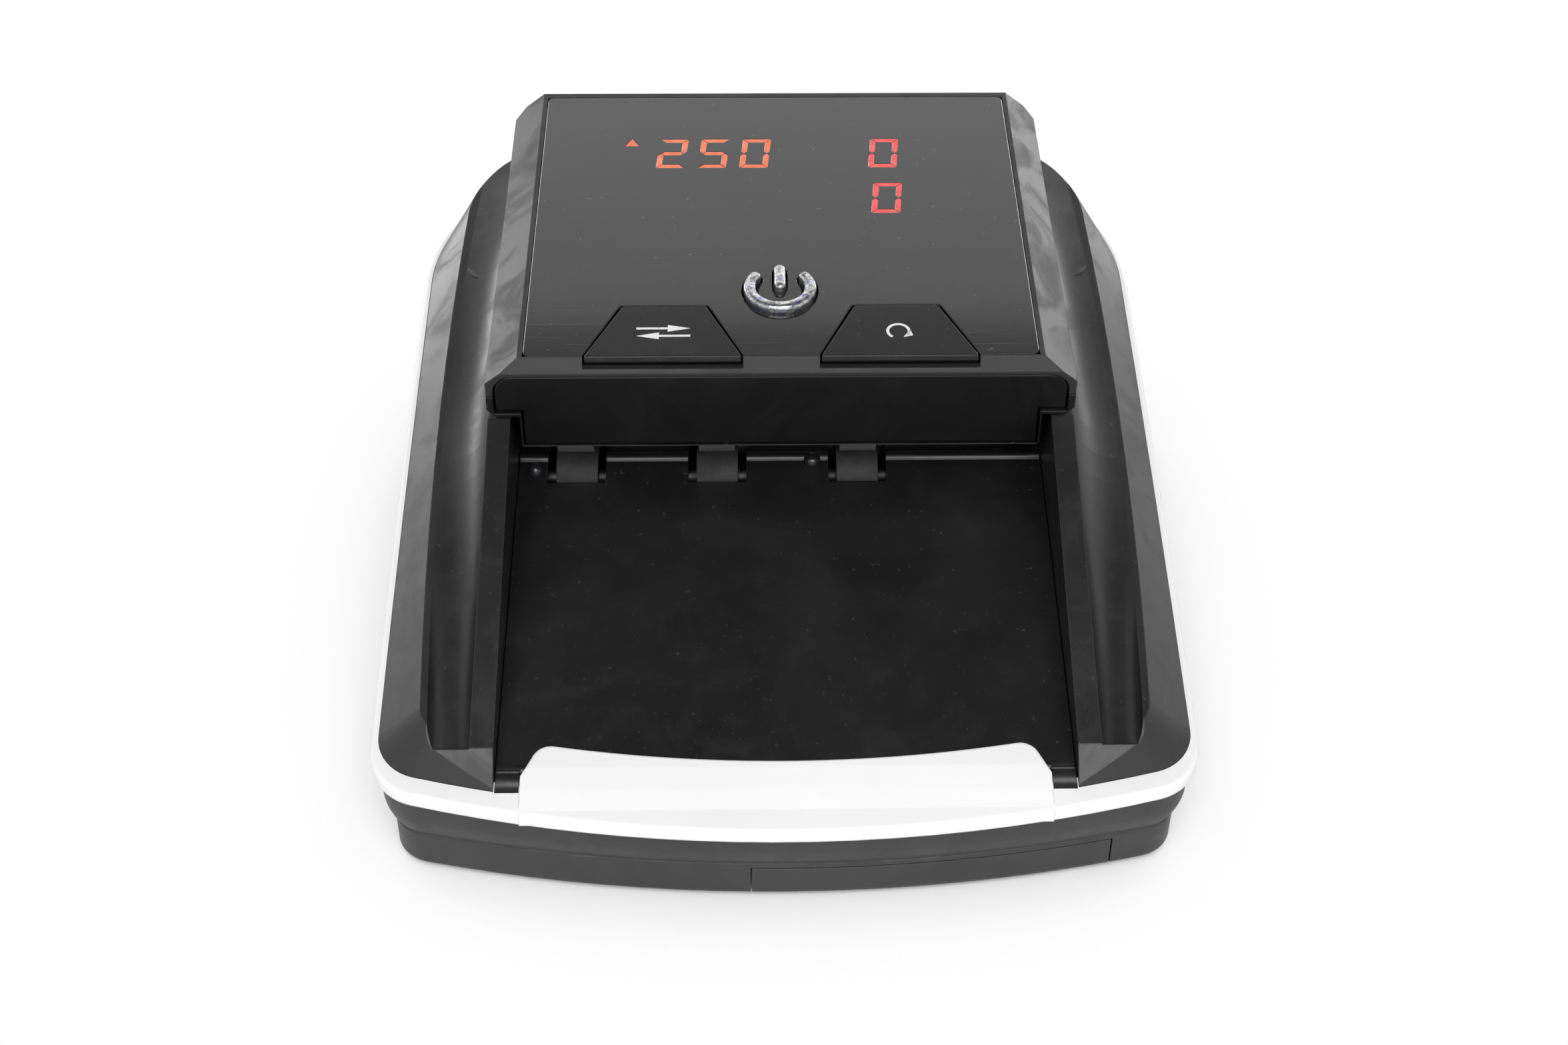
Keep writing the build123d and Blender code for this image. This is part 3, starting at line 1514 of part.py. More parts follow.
def ear_section(y):
    return [
        (-head_half, ear_under(y) + 1.5),
        (-head_half + 1.5, ear_under(y)),
        (head_half - 1.5, ear_under(y)),
        (head_half, ear_under(y) + 1.5),
        (head_half, seam_height(y)),
        (-head_half, seam_height(y)),
    ]


def ear_cavity(y):
    return [
        (-cover_inner, ear_under(y) + ear_plate),
        (cover_inner, ear_under(y) + ear_plate),
        (cover_inner, above_all),
        (-cover_inner, above_all),
    ]


with BuildPart() as head_body:
    prism_y(ear_section, (front_face, head_rear))
    slab_x(
        [
            (front_face, seam_height(front_face)),
            (front_face, panel_low),
            (slant_end, body_low),
            (back_bottom, body_low),
            (back_bottom + 3.2, back_step),
            (mid_rear, back_step + 2.4),
            (mid_rear, seam_height(mid_rear)),
        ],
        (-mid_half, mid_half),
    )
    prism_y(ear_cavity, (cover_front_wall, head_rear - wall), mode=Mode.SUBTRACT)
    slab_x(
        [
            (cover_front_wall, above_all),
            (cover_front_wall, panel_low + 0.4),
            (slant_end + 1.2, body_low + wall),
            (back_bottom - 1.6, body_low + wall),
            (back_bottom + 1.2, back_step),
            (mid_rear - wall, back_step + 3.4),
            (mid_rear - wall, above_all),
        ],
        (-mid_half + wall, mid_half - wall),
        mode=Mode.SUBTRACT,
    )
    for spans in web_spans:
        for side in (-1, 1):
            span = sorted((side * spans[0], side * spans[1]))
            block(span, (web_front, web_rear), (back_step + wall, web_top))
    for side in (-1, 1):
        span = sorted((side * lug_slot[0], side * lug_slot[1]))
        block(span, (lug_slot_front, rear), (0, above_all), mode=Mode.SUBTRACT)
        for y in head_boss_ys:
            with Locations((side * head_boss_x, y, ear_under(y) - wall / 2)):
                Cylinder(head_screw_head + 0.1, wall, align=upright, mode=Mode.SUBTRACT)
                Cylinder(head_screw_radius + 0.1, 3 * wall, align=upright, mode=Mode.SUBTRACT)
    for x in roller_xs:
        clear = pinch_width / 2 + 0.6
        for y in shaft_ys:
            span = (y - pinch_well, y + pinch_well)
            block((x - clear, x + clear), span, (0, pinch_height + pinch_well), mode=Mode.SUBTRACT)
    for y in shaft_ys:
        rod_x(y, pinch_height, pinch_bore, (-mid_half + 0.2, mid_half - 0.2), mode=Mode.SUBTRACT)
    rod_x(hinge_y, hinge_height, pin_radius, (-pin_end, pin_end), mode=Mode.SUBTRACT)
    block(note_head[0], note_head[1], (0, body_low + 2 * wall), mode=Mode.SUBTRACT)
    block((-glass_half, glass_half), glass_span, (0, body_low + 2 * wall), mode=Mode.SUBTRACT)
    extrude(panel_plan(seam), amount=2 * wall, mode=Mode.SUBTRACT)
finish(head_body, "head_body")

with BuildPart() as front_panel:
    extrude(panel_plan(0), amount=panel_thick)
    face_edges = front_panel.faces().sort_by(Axis.Y)[0].edges()
    chamfer(face_edges, 0.25)
finish(front_panel, "front_panel")

with BuildPart() as hinge_pins:
    for side in (-1, 1):
        span = sorted((side * (web_spans[0][0] + 0.2), side * pin_end))
        rod_x(hinge_y, hinge_height, pin_radius, span)
finish(hinge_pins, "hinge_pins")

with BuildPart() as head_screws:
    for side in (-1, 1):
        for y in head_boss_ys:
            with Locations((side * head_boss_x, y, ear_under(y) + 0.1)):
                Cylinder(head_screw_head, 0.9, align=upright)
                Cylinder(head_screw_radius, cover_drop - 1.2, align=upright)
                Box(0.4, 2 * head_screw_radius, 0.8, mode=Mode.SUBTRACT)
finish(head_screws, "head_screws")


# ---------------------------------------------------------------- reader parts in the head
with BuildPart() as upper_sensor_glass:
    block((-glass_half, glass_half), glass_span, top_glass_z)
finish(upper_sensor_glass, "upper_sensor_glass")

with BuildPart() as upper_sensor_board:
    block(
        (-glass_half - wall, glass_half + wall),
        (glass_span[0] - wall, glass_span[1] + wall),
        (top_glass_z[1], top_glass_z[1] + display_board_thick),
    )
    block(
        (-glass_half / 3, glass_half / 3),
        (glass_middle - 3.0, glass_middle + 3.0),
        (top_glass_z[1] + display_board_thick, top_glass_z[1] + 4.0),
    )
finish(upper_sensor_board, "upper_sensor_board")

with BuildPart() as magnetic_head:
    block(note_head[0], note_head[1], (body_low + 0.1, body_low + 5.0))
    block(
        (note_head[0][0] - wall, note_head[0][1] + wall),
        (note_head[1][0] - wall, note_head[1][1] + wall),
        (body_low + wall, body_low + wall + display_board_thick),
    )
    nib = magnetic_head.edges().filter_by(Axis.X).group_by(Axis.Z)[0]
    fillet(nib, 0.8)
finish(magnetic_head, "magnetic_head")

pinch_front_shaft = shaft(roller_axis_y, pinch_height, pinch_shaft_radius, pinch_half, "pinch_front_shaft")
pinch_rear_shaft = shaft(exit_axis_y, pinch_height, pinch_shaft_radius, pinch_half, "pinch_rear_shaft")
pinch_front_rollers = rings(
    roller_axis_y, pinch_height, pinch_radius, pinch_shaft_radius, pinch_width, "pinch_front_rollers"
)
pinch_rear_rollers = rings(
    exit_axis_y, pinch_height, pinch_radius, pinch_shaft_radius, pinch_width, "pinch_rear_rollers"
)


# ---------------------------------------------------------------- display and keys
with BuildPart() as display_lens:
    lens_block((-lens_half, lens_half), (0, lens_length), (0, lens_thick))
    fillet([e for e in display_lens.edges() if abs(e.length - lens_thick) < seam], 1.0)
    for side in (-1, 1):
        extrude(key_plan(side, key_gap, lens_thick + seam, key_back), amount=2 * wall, mode=Mode.SUBTRACT)
    extrude(power_plan(key_gap, lens_thick + seam), amount=2 * wall, mode=Mode.SUBTRACT)
    inlay(count_shapes + value_shapes, Mode.SUBTRACT)
finish(display_lens, "display_lens")

with BuildPart() as count_digits:
    inlay(count_shapes)
finish(count_digits, "count_digits")

with BuildPart() as value_digits:
    inlay(value_shapes)
finish(value_digits, "value_digits")


def lens_rim(piece, proud):
    """Edges of a key's face, which stands proud of the lens."""
    return [e for e in piece.edges() if abs(lens_plane.to_local_coords(e.center()).Z - proud) < 0.01]


def side_key(side, name):
    with BuildPart() as piece:
        extrude(key_plan(side, 0, key_thick, key_back), amount=key_thick + key_rise)
        nose_cut(0)
        low = lens_height(nose_top) - key_wrap
        block((-half, half), (front, lens_front), (0, low), mode=Mode.SUBTRACT)
        lens_rod(side * key_x, key_back / 2, key_stem, (key_thick - seam, stem_under))
        chamfer(lens_rim(piece, key_rise), 0.15)
    finish(piece, name)
    return piece


left_key = side_key(-1, "left_key")
right_key = side_key(1, "right_key")

with BuildPart() as power_key:
    extrude(power_plan(0, lens_thick + key_gap), amount=lens_thick + key_gap + power_proud)
    fillet(lens_rim(power_key, power_proud), power_round)
    lens_rod(0, power_s, power_disc, (lens_thick + key_gap, lens_thick + key_gap + 0.6))
    lens_rod(0, power_s, key_stem, (lens_thick + key_gap, stem_under))
finish(power_key, "power_key")

with BuildPart() as display_board:
    lens_block(
        (-display_board_half, display_board_half),
        display_board_span,
        (board_face, board_face + display_board_thick),
    )
    for x, s in display_posts:
        lens_rod(x, s, small_screw, (0, 3 * wall + display_board_thick + seam), mode=Mode.SUBTRACT)
    for side in (-1, 1):
        lens_block(
            sorted((side * (web_spans[0][0] - 1.0), side * head_half)),
            (display_board_span[1] - 8.0, lens_length),
            (0, 4 * wall),
            mode=Mode.SUBTRACT,
        )
finish(display_board, "display_board")

with BuildPart() as display_screws:
    for x, s in display_posts:
        low = board_face + display_board_thick
        lens_rod(x, s, small_head, (low, low + small_head_height))
        lens_rod(x, s, small_screw - 0.2, (web_under + 0.3, low + seam))
finish(display_screws, "display_screws")

with BuildPart() as digit_modules:
    for span, rows in modules:
        lens_block(span, rows, (lens_thick + contact_gap, board_face))
finish(digit_modules, "digit_modules")

with BuildPart() as tact_switches:
    for x, s in [(-key_x, key_back / 2), (key_x, key_back / 2), (0, power_s)]:
        lens_block((x - 3.0, x + 3.0), (s - 3.0, s + 3.0), (board_face - 1.6, board_face))
        lens_rod(x, s, 1.6, (stem_under + key_travel + 0.05, board_face - 1.5))
finish(tact_switches, "tact_switches")
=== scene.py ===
"""Looks, light and camera for the small banknote counter."""

import json
import math

import bmesh
import bpy
from mathutils import Matrix, Vector


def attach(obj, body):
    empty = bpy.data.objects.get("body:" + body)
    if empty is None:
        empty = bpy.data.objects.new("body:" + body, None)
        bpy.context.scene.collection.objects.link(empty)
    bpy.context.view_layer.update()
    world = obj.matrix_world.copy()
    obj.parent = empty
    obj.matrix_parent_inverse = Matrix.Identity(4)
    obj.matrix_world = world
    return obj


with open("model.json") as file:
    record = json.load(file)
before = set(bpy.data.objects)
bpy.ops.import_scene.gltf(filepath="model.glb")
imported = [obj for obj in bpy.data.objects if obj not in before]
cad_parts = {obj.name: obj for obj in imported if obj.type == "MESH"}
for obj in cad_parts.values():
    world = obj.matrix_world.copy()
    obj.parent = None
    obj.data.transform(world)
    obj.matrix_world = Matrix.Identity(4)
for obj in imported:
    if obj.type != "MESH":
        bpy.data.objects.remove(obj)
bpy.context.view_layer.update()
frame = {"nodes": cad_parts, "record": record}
MM = 0.001


# ---------------------------------------------------------------- node helper
class Graph:
    """Short way to build a material's nodes. Lengths are in metres and noise scales per metre."""

    bevel_samples = 6
    flat_cosine = 0.995         # rounded against true normal, on a flat face
    sharp_cosine = 0.86         # the same on a sharp edge
    dusty_from = 0.35           # upward share of the normal where dust begins to lie
    dusty_full = 0.95

    def __init__(self, name):
        self.material = bpy.data.materials.new(name)
        self.material.use_nodes = True
        self.tree = self.material.node_tree
        self.tree.nodes.clear()
        self.output = self.node("ShaderNodeOutputMaterial")
        coords = self.node("ShaderNodeTexCoord")
        self.place = coords.outputs["Object"]

    def node(self, kind, **inputs):
        made = self.tree.nodes.new(kind)
        for key, value in inputs.items():
            self.put(made.inputs[key.replace("_", " ")], value)
        return made

    def put(self, socket, value):
        if isinstance(value, bpy.types.NodeSocket):
            self.tree.links.new(value, socket)
        else:
            socket.default_value = value

    def stretch(self, scale):
        made = self.node("ShaderNodeMapping")
        self.put(made.inputs["Vector"], self.place)
        made.inputs["Scale"].default_value = scale
        return made.outputs["Vector"]

    def noise(self, scale, detail=3.0, rough=0.5, warp=0.0, vector=None):
        made = self.node("ShaderNodeTexNoise", Scale=scale, Detail=detail, Roughness=rough, Distortion=warp)
        self.put(made.inputs["Vector"], vector or self.place)
        return made.outputs["Fac"]

    def span(self, value, low, high, to_low=0.0, to_high=1.0):
        """Smooth step of value from low..high to to_low..to_high."""
        made = self.node("ShaderNodeMapRange")
        made.interpolation_type = "SMOOTHSTEP"
        ends = {
            "Value": value,
            "From Min": low,
            "From Max": high,
            "To Min": to_low,
            "To Max": to_high,
        }
        for key, item in ends.items():
            self.put(made.inputs[key], item)
        return made.outputs["Result"]

    def math(self, operation, first, second=0.0):
        made = self.node("ShaderNodeMath")
        made.operation = operation
        self.put(made.inputs[0], first)
        self.put(made.inputs[1], second)
        return made.outputs["Value"]

    def mix(self, factor, first, second):
        made = self.node("ShaderNodeMix")
        made.data_type = "RGBA"
        self.put(made.inputs["Factor"], factor)
        self.put(made.inputs["A"], first)
        self.put(made.inputs["B"], second)
        return made.outputs["Result"]

    def round_edges(self, radius):
        made = self.node("ShaderNodeBevel", Radius=radius)
        made.samples = self.bevel_samples
        return made.outputs["Normal"]

    def edge_mask(self, radius):
        """One on sharp edges, nought on flat faces."""
        soft = self.round_edges(radius)
        flat = self.node("ShaderNodeNewGeometry").outputs["Normal"]
        made = self.node("ShaderNodeVectorMath")
        made.operation = "DOT_PRODUCT"
        self.put(made.inputs[0], soft)
        self.put(made.inputs[1], flat)
        return self.span(made.outputs["Value"], self.flat_cosine, self.sharp_cosine)

    def facing_up(self):
        split = self.node("ShaderNodeSeparateXYZ")
        self.put(split.inputs["Vector"], self.node("ShaderNodeNewGeometry").outputs["Normal"])
        return self.span(split.outputs["Z"], self.dusty_from, self.dusty_full)

    def bump(self, height, depth, normal):
        made = self.node("ShaderNodeBump", Distance=depth, Height=height, Strength=1.0)
        self.put(made.inputs["Normal"], normal)
        return made.outputs["Normal"]

    def surface(self, **inputs):
        shader = self.node("ShaderNodeBsdfPrincipled")
        for key, value in inputs.items():
            self.put(shader.inputs[key.replace("_", " ")], value)
        self.put(self.output.inputs["Surface"], shader.outputs["BSDF"])
        return self.material


def grey(value):
    return (value, value, value, 1.0)


def tint(colour, factor):
    return tuple(min(c * factor, 1.0) for c in colour[:3]) + (1.0,)


# ---------------------------------------------------------------- finishes
def moulded(
    name,
    colour,
    rough=0.5,
    grain=0.00001,
    grain_scale=2600.0,
    edge=0.00035,
    wear=1.6,
    dust=0.02,
    level=0.5,
    blotch=0.14,
):
    """Moulded plastic: spark texture, faint flow marks, rubbed edges, dust and finger marks."""
    g = Graph(name)
    flow = g.noise(28.0, detail=4.0, rough=0.55, warp=0.6)
    patch = g.noise(140.0, rough=0.6)
    body = g.mix(g.span(flow, 0.3, 0.7), tint(colour, 1.0 - blotch), tint(colour, 1.0 + blotch))
    body = g.mix(g.span(patch, 0.45, 0.75, to_high=0.35), body, tint(colour, 1.0 + 1.8 * blotch))
    scuffs = g.span(g.noise(420.0, detail=4.0, rough=0.65), 0.38, 0.62, to_low=0.25)
    rubbed = g.math("MULTIPLY", g.edge_mask(edge * 1.6), scuffs)
    body = g.mix(rubbed, body, tint(colour, wear))
    specks = g.span(g.noise(900.0, detail=2.0, rough=0.7), 0.66, 0.74)
    lint = g.math("MULTIPLY", g.math("MULTIPLY", g.facing_up(), specks), dust * 4.0)
    haze = g.span(g.noise(60.0, detail=5.0, rough=0.6), 0.35, 0.8, to_high=dust)
    film = g.math("MULTIPLY", g.facing_up(), haze)
    body = g.mix(g.math("MAXIMUM", lint, film), body, grey(0.55))
    marks = g.noise(75.0, detail=5.0, rough=0.6, warp=1.4)
    fine = g.noise(grain_scale, rough=0.6)
    pits = g.noise(grain_scale * 0.35, detail=2.0)
    height = g.math("ADD", fine, g.math("MULTIPLY", pits, 0.6))
    return g.surface(
        Base_Color=body,
        Roughness=g.span(marks, 0.42, 0.68, to_low=rough - 0.05, to_high=rough + 0.07),
        IOR=1.5,
        Specular_IOR_Level=level,
        Normal=g.bump(height, grain, g.round_edges(edge)),
    )


def gloss(name, colour, rough=0.08, smears=0.05):
    """Polished plastic with wipe smears and hairline scratches."""
    edge = 0.0003
    scratch = 0.0000015
    wear = 1.4
    g = Graph(name)
    body = g.mix(g.span(g.noise(35.0), 0.3, 0.7), tint(colour, 0.9), tint(colour, 1.15))
    body = g.mix(g.math("MULTIPLY", g.edge_mask(edge * 1.5), 0.6), body, tint(colour, wear))
    specks = g.span(g.noise(700.0, detail=2.0, rough=0.7), 0.7, 0.76)
    lint = g.math("MULTIPLY", g.math("MULTIPLY", specks, g.facing_up()), 0.12)
    body = g.mix(lint, body, grey(0.6))
    wipe = g.noise(22.0, detail=6.0, rough=0.65, warp=2.2, vector=g.stretch((1.0, 3.2, 1.0)))
    finger = g.noise(95.0, detail=4.0, rough=0.6, warp=0.8)
    wiped = g.span(wipe, 0.45, 0.75, to_high=smears)
    touched = g.span(finger, 0.5, 0.72, to_high=smears * 0.6)
    lines = g.noise(900.0, detail=2.0, vector=g.stretch((1.0, 0.03, 1.0)))
    cross = g.noise(800.0, detail=2.0, vector=g.stretch((0.04, 1.0, 1.0)))
    height = g.math("ADD", g.span(lines, 0.62, 0.7), g.span(cross, 0.64, 0.72))
    return g.surface(
        Base_Color=body,
        Roughness=g.math("ADD", g.math("ADD", wiped, touched), rough),
        IOR=1.49,
        Normal=g.bump(height, scratch, g.round_edges(edge)),
    )


def rubber(name, colour, rough=0.75):
    """Ground rubber with fine grooves round the roller."""
    edge = 0.0003
    grain = 0.00003
    g = Graph(name)
    mottle = g.noise(300.0, detail=4.0, rough=0.6)
    body = g.mix(g.span(mottle, 0.35, 0.7), tint(colour, 0.8), tint(colour, 1.2))
    stain = g.span(g.noise(90.0, rough=0.6, warp=1.0), 0.55, 0.75, to_high=0.4)
    body = g.mix(stain, body, tint(colour, 0.55))
    grooves = g.noise(1800.0, detail=2.0, vector=g.stretch((1.0, 0.08, 0.08)))
    height = g.math("ADD", g.noise(1500.0, detail=4.0, rough=0.6), g.math("MULTIPLY", grooves, 0.7))
    return g.surface(
        Base_Color=body,
        Roughness=g.span(g.noise(160.0), 0.35, 0.7, to_low=rough - 0.1, to_high=rough + 0.1),
        Specular_IOR_Level=0.35,
        Normal=g.bump(height, grain, g.round_edges(edge)),
    )


def metal(name, colour, rough, along=(0.05, 1.0, 1.0)):
    """Ground or plated metal with fine lines and stains."""
    edge = 0.00015
    grain = 0.000004
    g = Graph(name)
    mottle = g.noise(120.0, detail=4.0, rough=0.6, warp=0.8)
    body = g.mix(g.span(mottle, 0.35, 0.7), tint(colour, 0.82), tint(colour, 1.1))
    stain = g.span(g.noise(260.0, detail=5.0, rough=0.7, warp=1.2), 0.58, 0.76, to_high=0.35)
    body = g.mix(stain, body, tint(colour, 0.55))
    lines = g.noise(2400.0, rough=0.6, vector=g.stretch(along))
    return g.surface(
        Base_Color=body,
        Metallic=1.0,
        Roughness=g.span(lines, 0.3, 0.7, to_low=rough - 0.06, to_high=rough + 0.1),
        Normal=g.bump(lines, grain, g.round_edges(edge)),
    )


def lamp(name, colour, strength):
    """Lit display segment under the dark lens, with faint grain in its colour and brightness."""
    g = Graph(name)
    glow = g.span(g.noise(900.0, rough=0.6), 0.3, 0.7, to_low=0.82, to_high=1.12)
    pool = g.span(g.noise(260.0, detail=2.0), 0.3, 0.7, to_low=0.8, to_high=1.1)
    hot = tuple(min(1.0, c * 0.9 + 0.06) for c in colour[:3]) + (1.0,)
    return g.surface(
        Base_Color=tint(colour, 0.2),
        Roughness=g.span(g.noise(95.0, detail=4.0, rough=0.6), 0.4, 0.7, to_low=0.08, to_high=0.14),
        Emission_Color=g.mix(g.span(g.noise(500.0, detail=2.0), 0.4, 0.65), colour, hot),
        Emission_Strength=g.math("MULTIPLY", g.math("MULTIPLY", glow, pool), strength),
    )


def clear_chrome(name):
    """Clear moulded key over bright foil: silver, with blue and violet glints and dark patches painted into
    its colour as painted reflections.
    """
    edge = 0.0004
    ripple_depth = 0.00012
    g = Graph(name)
    silver = g.mix(g.span(g.noise(700.0, rough=0.6, warp=1.5), 0.35, 0.65), grey(0.2), grey(0.55))
    # painted reflection: the blue glints and the dark patches below stand in for what the chrome reflects,
    # not the foil's own colour
    blue = g.span(g.noise(420.0, rough=0.6, warp=2.5), 0.56, 0.66, to_high=0.6)
    silver_and_painted_glints = g.mix(blue, silver, (0.16, 0.17, 0.62, 1.0))
    dark = g.span(g.noise(520.0, detail=2.0, warp=1.8), 0.6, 0.7, to_high=0.65)
    return g.surface(
        Base_Color=g.mix(dark, silver_and_painted_glints, grey(0.08)),
        Metallic=0.8,
        Roughness=g.span(g.noise(300.0, rough=0.6), 0.3, 0.7, to_low=0.08, to_high=0.18),
        Coat_Weight=0.9,
        Coat_Roughness=0.03,
        Coat_IOR=1.49,
        Normal=g.bump(g.noise(650.0, warp=0.6), ripple_depth, g.round_edges(edge)),
    )


def board(name):
    """Printed circuit board: solder mask with tracks and pads."""
    edge = 0.0001
    copper_depth = 0.00004
    mask_dark = (0.012, 0.085, 0.035, 1.0)
    mask_light = (0.02, 0.13, 0.05, 1.0)
    track_green = (0.05, 0.24, 0.09, 1.0)
    pad_tin = (0.62, 0.58, 0.42, 1.0)
    g = Graph(name)
    mask = g.mix(g.span(g.noise(60.0), 0.3, 0.7), mask_dark, mask_light)
    cells = g.node("ShaderNodeTexVoronoi", Scale=260.0)
    cells.distance = "CHEBYCHEV"
    g.put(cells.inputs["Vector"], g.place)
    runs = g.noise(420.0, detail=1.0, rough=0.2, vector=g.stretch((1.0, 0.12, 1.0)))
    track = g.span(runs, 0.52, 0.56)
    traced = g.mix(g.math("MULTIPLY", track, 0.55), mask, track_green)
    pad = g.span(cells.outputs["Distance"], 0.16, 0.12)
    return g.surface(
        Base_Color=g.mix(pad, traced, pad_tin),
        Metallic=g.math("MULTIPLY", pad, 0.8),
        Roughness=g.span(track, 0.0, 1.0, to_low=0.42, to_high=0.3),
        Normal=g.bump(g.math("ADD", track, pad), copper_depth, g.round_edges(edge)),
    )


def ink_white(name):
    """White print, worn thin in specks."""
    g = Graph(name)
    worn = g.span(g.noise(1400.0, detail=4.0, rough=0.7), 0.3, 0.42)
    return g.surface(
        Base_Color=g.mix(worn, grey(0.5), grey(0.88)),
        Roughness=g.span(g.noise(500.0), 0.3, 0.7, to_low=0.35, to_high=0.5),
    )


smooth_grain = 0.000004
fine_grain = 0.000002
round_the_shaft = (1.0, 0.05, 0.05)

# material slot: how it is made, and its values
finish_table = {
    "base_plastic": (moulded, dict(colour=grey(0.028), rough=0.5)),
    "shell_plastic": (moulded, dict(colour=grey(0.012), rough=0.42, wear=1.3, dust=0.012)),
    "head_plastic": (moulded, dict(colour=grey(0.018), rough=0.5, wear=1.3, level=0.4, dust=0.012)),
    "body_plastic": (moulded, dict(colour=grey(0.004), rough=0.42, wear=1.1, level=0.3)),
    "panel_black": (moulded, dict(colour=grey(0.003), rough=0.34, grain=smooth_grain, wear=1.0, level=0.3)),
    "white_trim": (
        moulded,
        dict(colour=grey(0.92), rough=0.4, grain=fine_grain, wear=1.02, dust=0.006, blotch=0.015),
    ),
    "tray_black": (
        moulded,
        dict(colour=grey(0.008), rough=0.34, grain=smooth_grain, grain_scale=1800.0, dust=0.012),
    ),
    "chassis_black": (moulded, dict(colour=grey(0.018), rough=0.5)),
    "dome_clear": (gloss, dict(colour=(0.015, 0.014, 0.018, 1.0), rough=0.05, smears=0.02)),
    "foot_rubber": (rubber, dict(colour=grey(0.02))),
    "screw_steel": (metal, dict(colour=grey(0.55), rough=0.3)),
    "screw_black": (metal, dict(colour=grey(0.08), rough=0.4)),
    "battery_wrap": (gloss, dict(colour=(0.02, 0.06, 0.26, 1.0), rough=0.25)),
    "spring_brass": (metal, dict(colour=(0.75, 0.6, 0.3, 1.0), rough=0.25)),
    "window_dark": (gloss, dict(colour=(0.02, 0.012, 0.025, 1.0), rough=0.06)),
    "board_green": (board, {}),
    # painted shade: the shaft's steel is darkened far below bare steel so it stays as dark as the shade
    # under the tray and doesn't glint through the roller slots
    "shaft_steel": (metal, dict(colour=grey(0.07), rough=0.45, along=round_the_shaft)),
    "hub_black": (moulded, dict(colour=grey(0.015), rough=0.4, grain=smooth_grain)),
    "roller_rubber": (rubber, dict(colour=grey(0.024))),
    "bush_bronze": (metal, dict(colour=(0.5, 0.36, 0.16, 1.0), rough=0.35)),
    "pulley_black": (moulded, dict(colour=grey(0.015), rough=0.4, grain=smooth_grain)),
    "pulley_brass": (metal, dict(colour=(0.72, 0.56, 0.26, 1.0), rough=0.22)),
    "belt_rubber": (rubber, dict(colour=grey(0.015), rough=0.6)),
    "motor_steel": (metal, dict(colour=grey(0.5), rough=0.3)),
    "cap_black": (moulded, dict(colour=grey(0.02), rough=0.5)),
    "bracket_steel": (metal, dict(colour=grey(0.5), rough=0.35)),
    "disc_black": (moulded, dict(colour=grey(0.012), rough=0.4)),
    "chip_black": (moulded, dict(colour=grey(0.015), rough=0.45)),
    "jack_black": (moulded, dict(colour=grey(0.015), rough=0.4)),
    "port_steel": (metal, dict(colour=grey(0.6), rough=0.2)),
    "mag_steel": (metal, dict(colour=grey(0.45), rough=0.18)),
    "pinch_plastic": (moulded, dict(colour=grey(0.12), rough=0.45)),
    "lens_black": (gloss, dict(colour=grey(0.012), rough=0.07)),
    "digit_amber": (lamp, dict(colour=(1.0, 0.16, 0.03, 1.0), strength=0.75)),
    "digit_red": (lamp, dict(colour=(0.95, 0.035, 0.03, 1.0), strength=0.85)),
    "key_grey": (
        moulded,
        dict(colour=grey(0.006), rough=0.22, grain=fine_grain, edge=0.0003, wear=1.8, level=0.26, dust=0.01),
    ),
    "key_clear": (clear_chrome, {}),
    "module_grey": (moulded, dict(colour=grey(0.1), rough=0.5)),
    "switch_black": (moulded, dict(colour=grey(0.02), rough=0.4)),
}
finishes = {name: make(name, **values) for name, (make, values) in finish_table.items()}
slots = {item["node"]: item["material_slot"] for item in frame["record"]["subparts"]}
for node, obj in frame["nodes"].items():
    for place in obj.material_slots:
        place.material = finishes[slots[node]]


# ---------------------------------------------------------------- key marks
lens_tilt = math.radians(4.2)
lens_origin = Vector((0.0, -5.9 * MM, 56.4 * MM))   # middle of the lens's front edge
lens_frame = Matrix.Translation(lens_origin) @ Matrix.Rotation(lens_tilt, 4, "X")
mark_lift = 0.22 * MM       # just over the key faces, which stand 0.2 mm above the lens
mark_thick = 0.03 * MM

# the marks in mm: x across the lens, s up its slope from the front edge
key_x = 19.15               # middle of the right key; the left key mirrors it
mark_s = 5.6
arrow_long = 8.8
arrow_tip = 0.42            # share of the length
arrow_bar = 0.24            # half the width of the bar
arrow_wing = 0.85           # half the width of the tip
arrow_off = 0.95            # of each arrow from the mark's middle
loop_radius = 1.75
loop_width = 0.48
loop_start = -35            # degrees
loop_end = 235
loop_steps = 28
loop_head = ((0.75, -1.55), (2.35, -1.1), (1.95, 0.35))     # corners, from the loop's middle


def printed(name, shapes, body, ink):
    """Thin printed mark on a key, riding on its body; shapes are lists of (x, s) in mm."""
    mesh = bpy.data.meshes.new(name)
    build = bmesh.new()
    for shape in shapes:
        low = [build.verts.new((x * MM, s * MM, mark_lift)) for x, s in shape]
        face = build.faces.new(low)
        raised = bmesh.ops.extrude_face_region(build, geom=[face])["geom"]
        moved = [v for v in raised if isinstance(v, bmesh.types.BMVert)]
        bmesh.ops.translate(build, verts=moved, vec=(0, 0, mark_thick))
    bmesh.ops.recalc_face_normals(build, faces=build.faces)
    build.to_mesh(mesh)
    build.free()
    obj = bpy.data.objects.new(name, mesh)
    bpy.context.scene.collection.objects.link(obj)
    obj.matrix_world = lens_frame
    obj.data.materials.append(ink)
    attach(obj, body)


def arrow(x, s, way):
    """Flat arrow that starts at x; way is +1 to the right, -1 to the left."""
    neck = arrow_long - arrow_long * arrow_tip
    points = [
        (0, -arrow_bar),
        (neck, -arrow_bar),
        (neck, -arrow_wing),
        (arrow_long, 0),
        (neck, arrow_wing),
        (neck, arrow_bar),
        (0, arrow_bar),
    ]
    return [(x + way * px, s + ps) for px, ps in points]


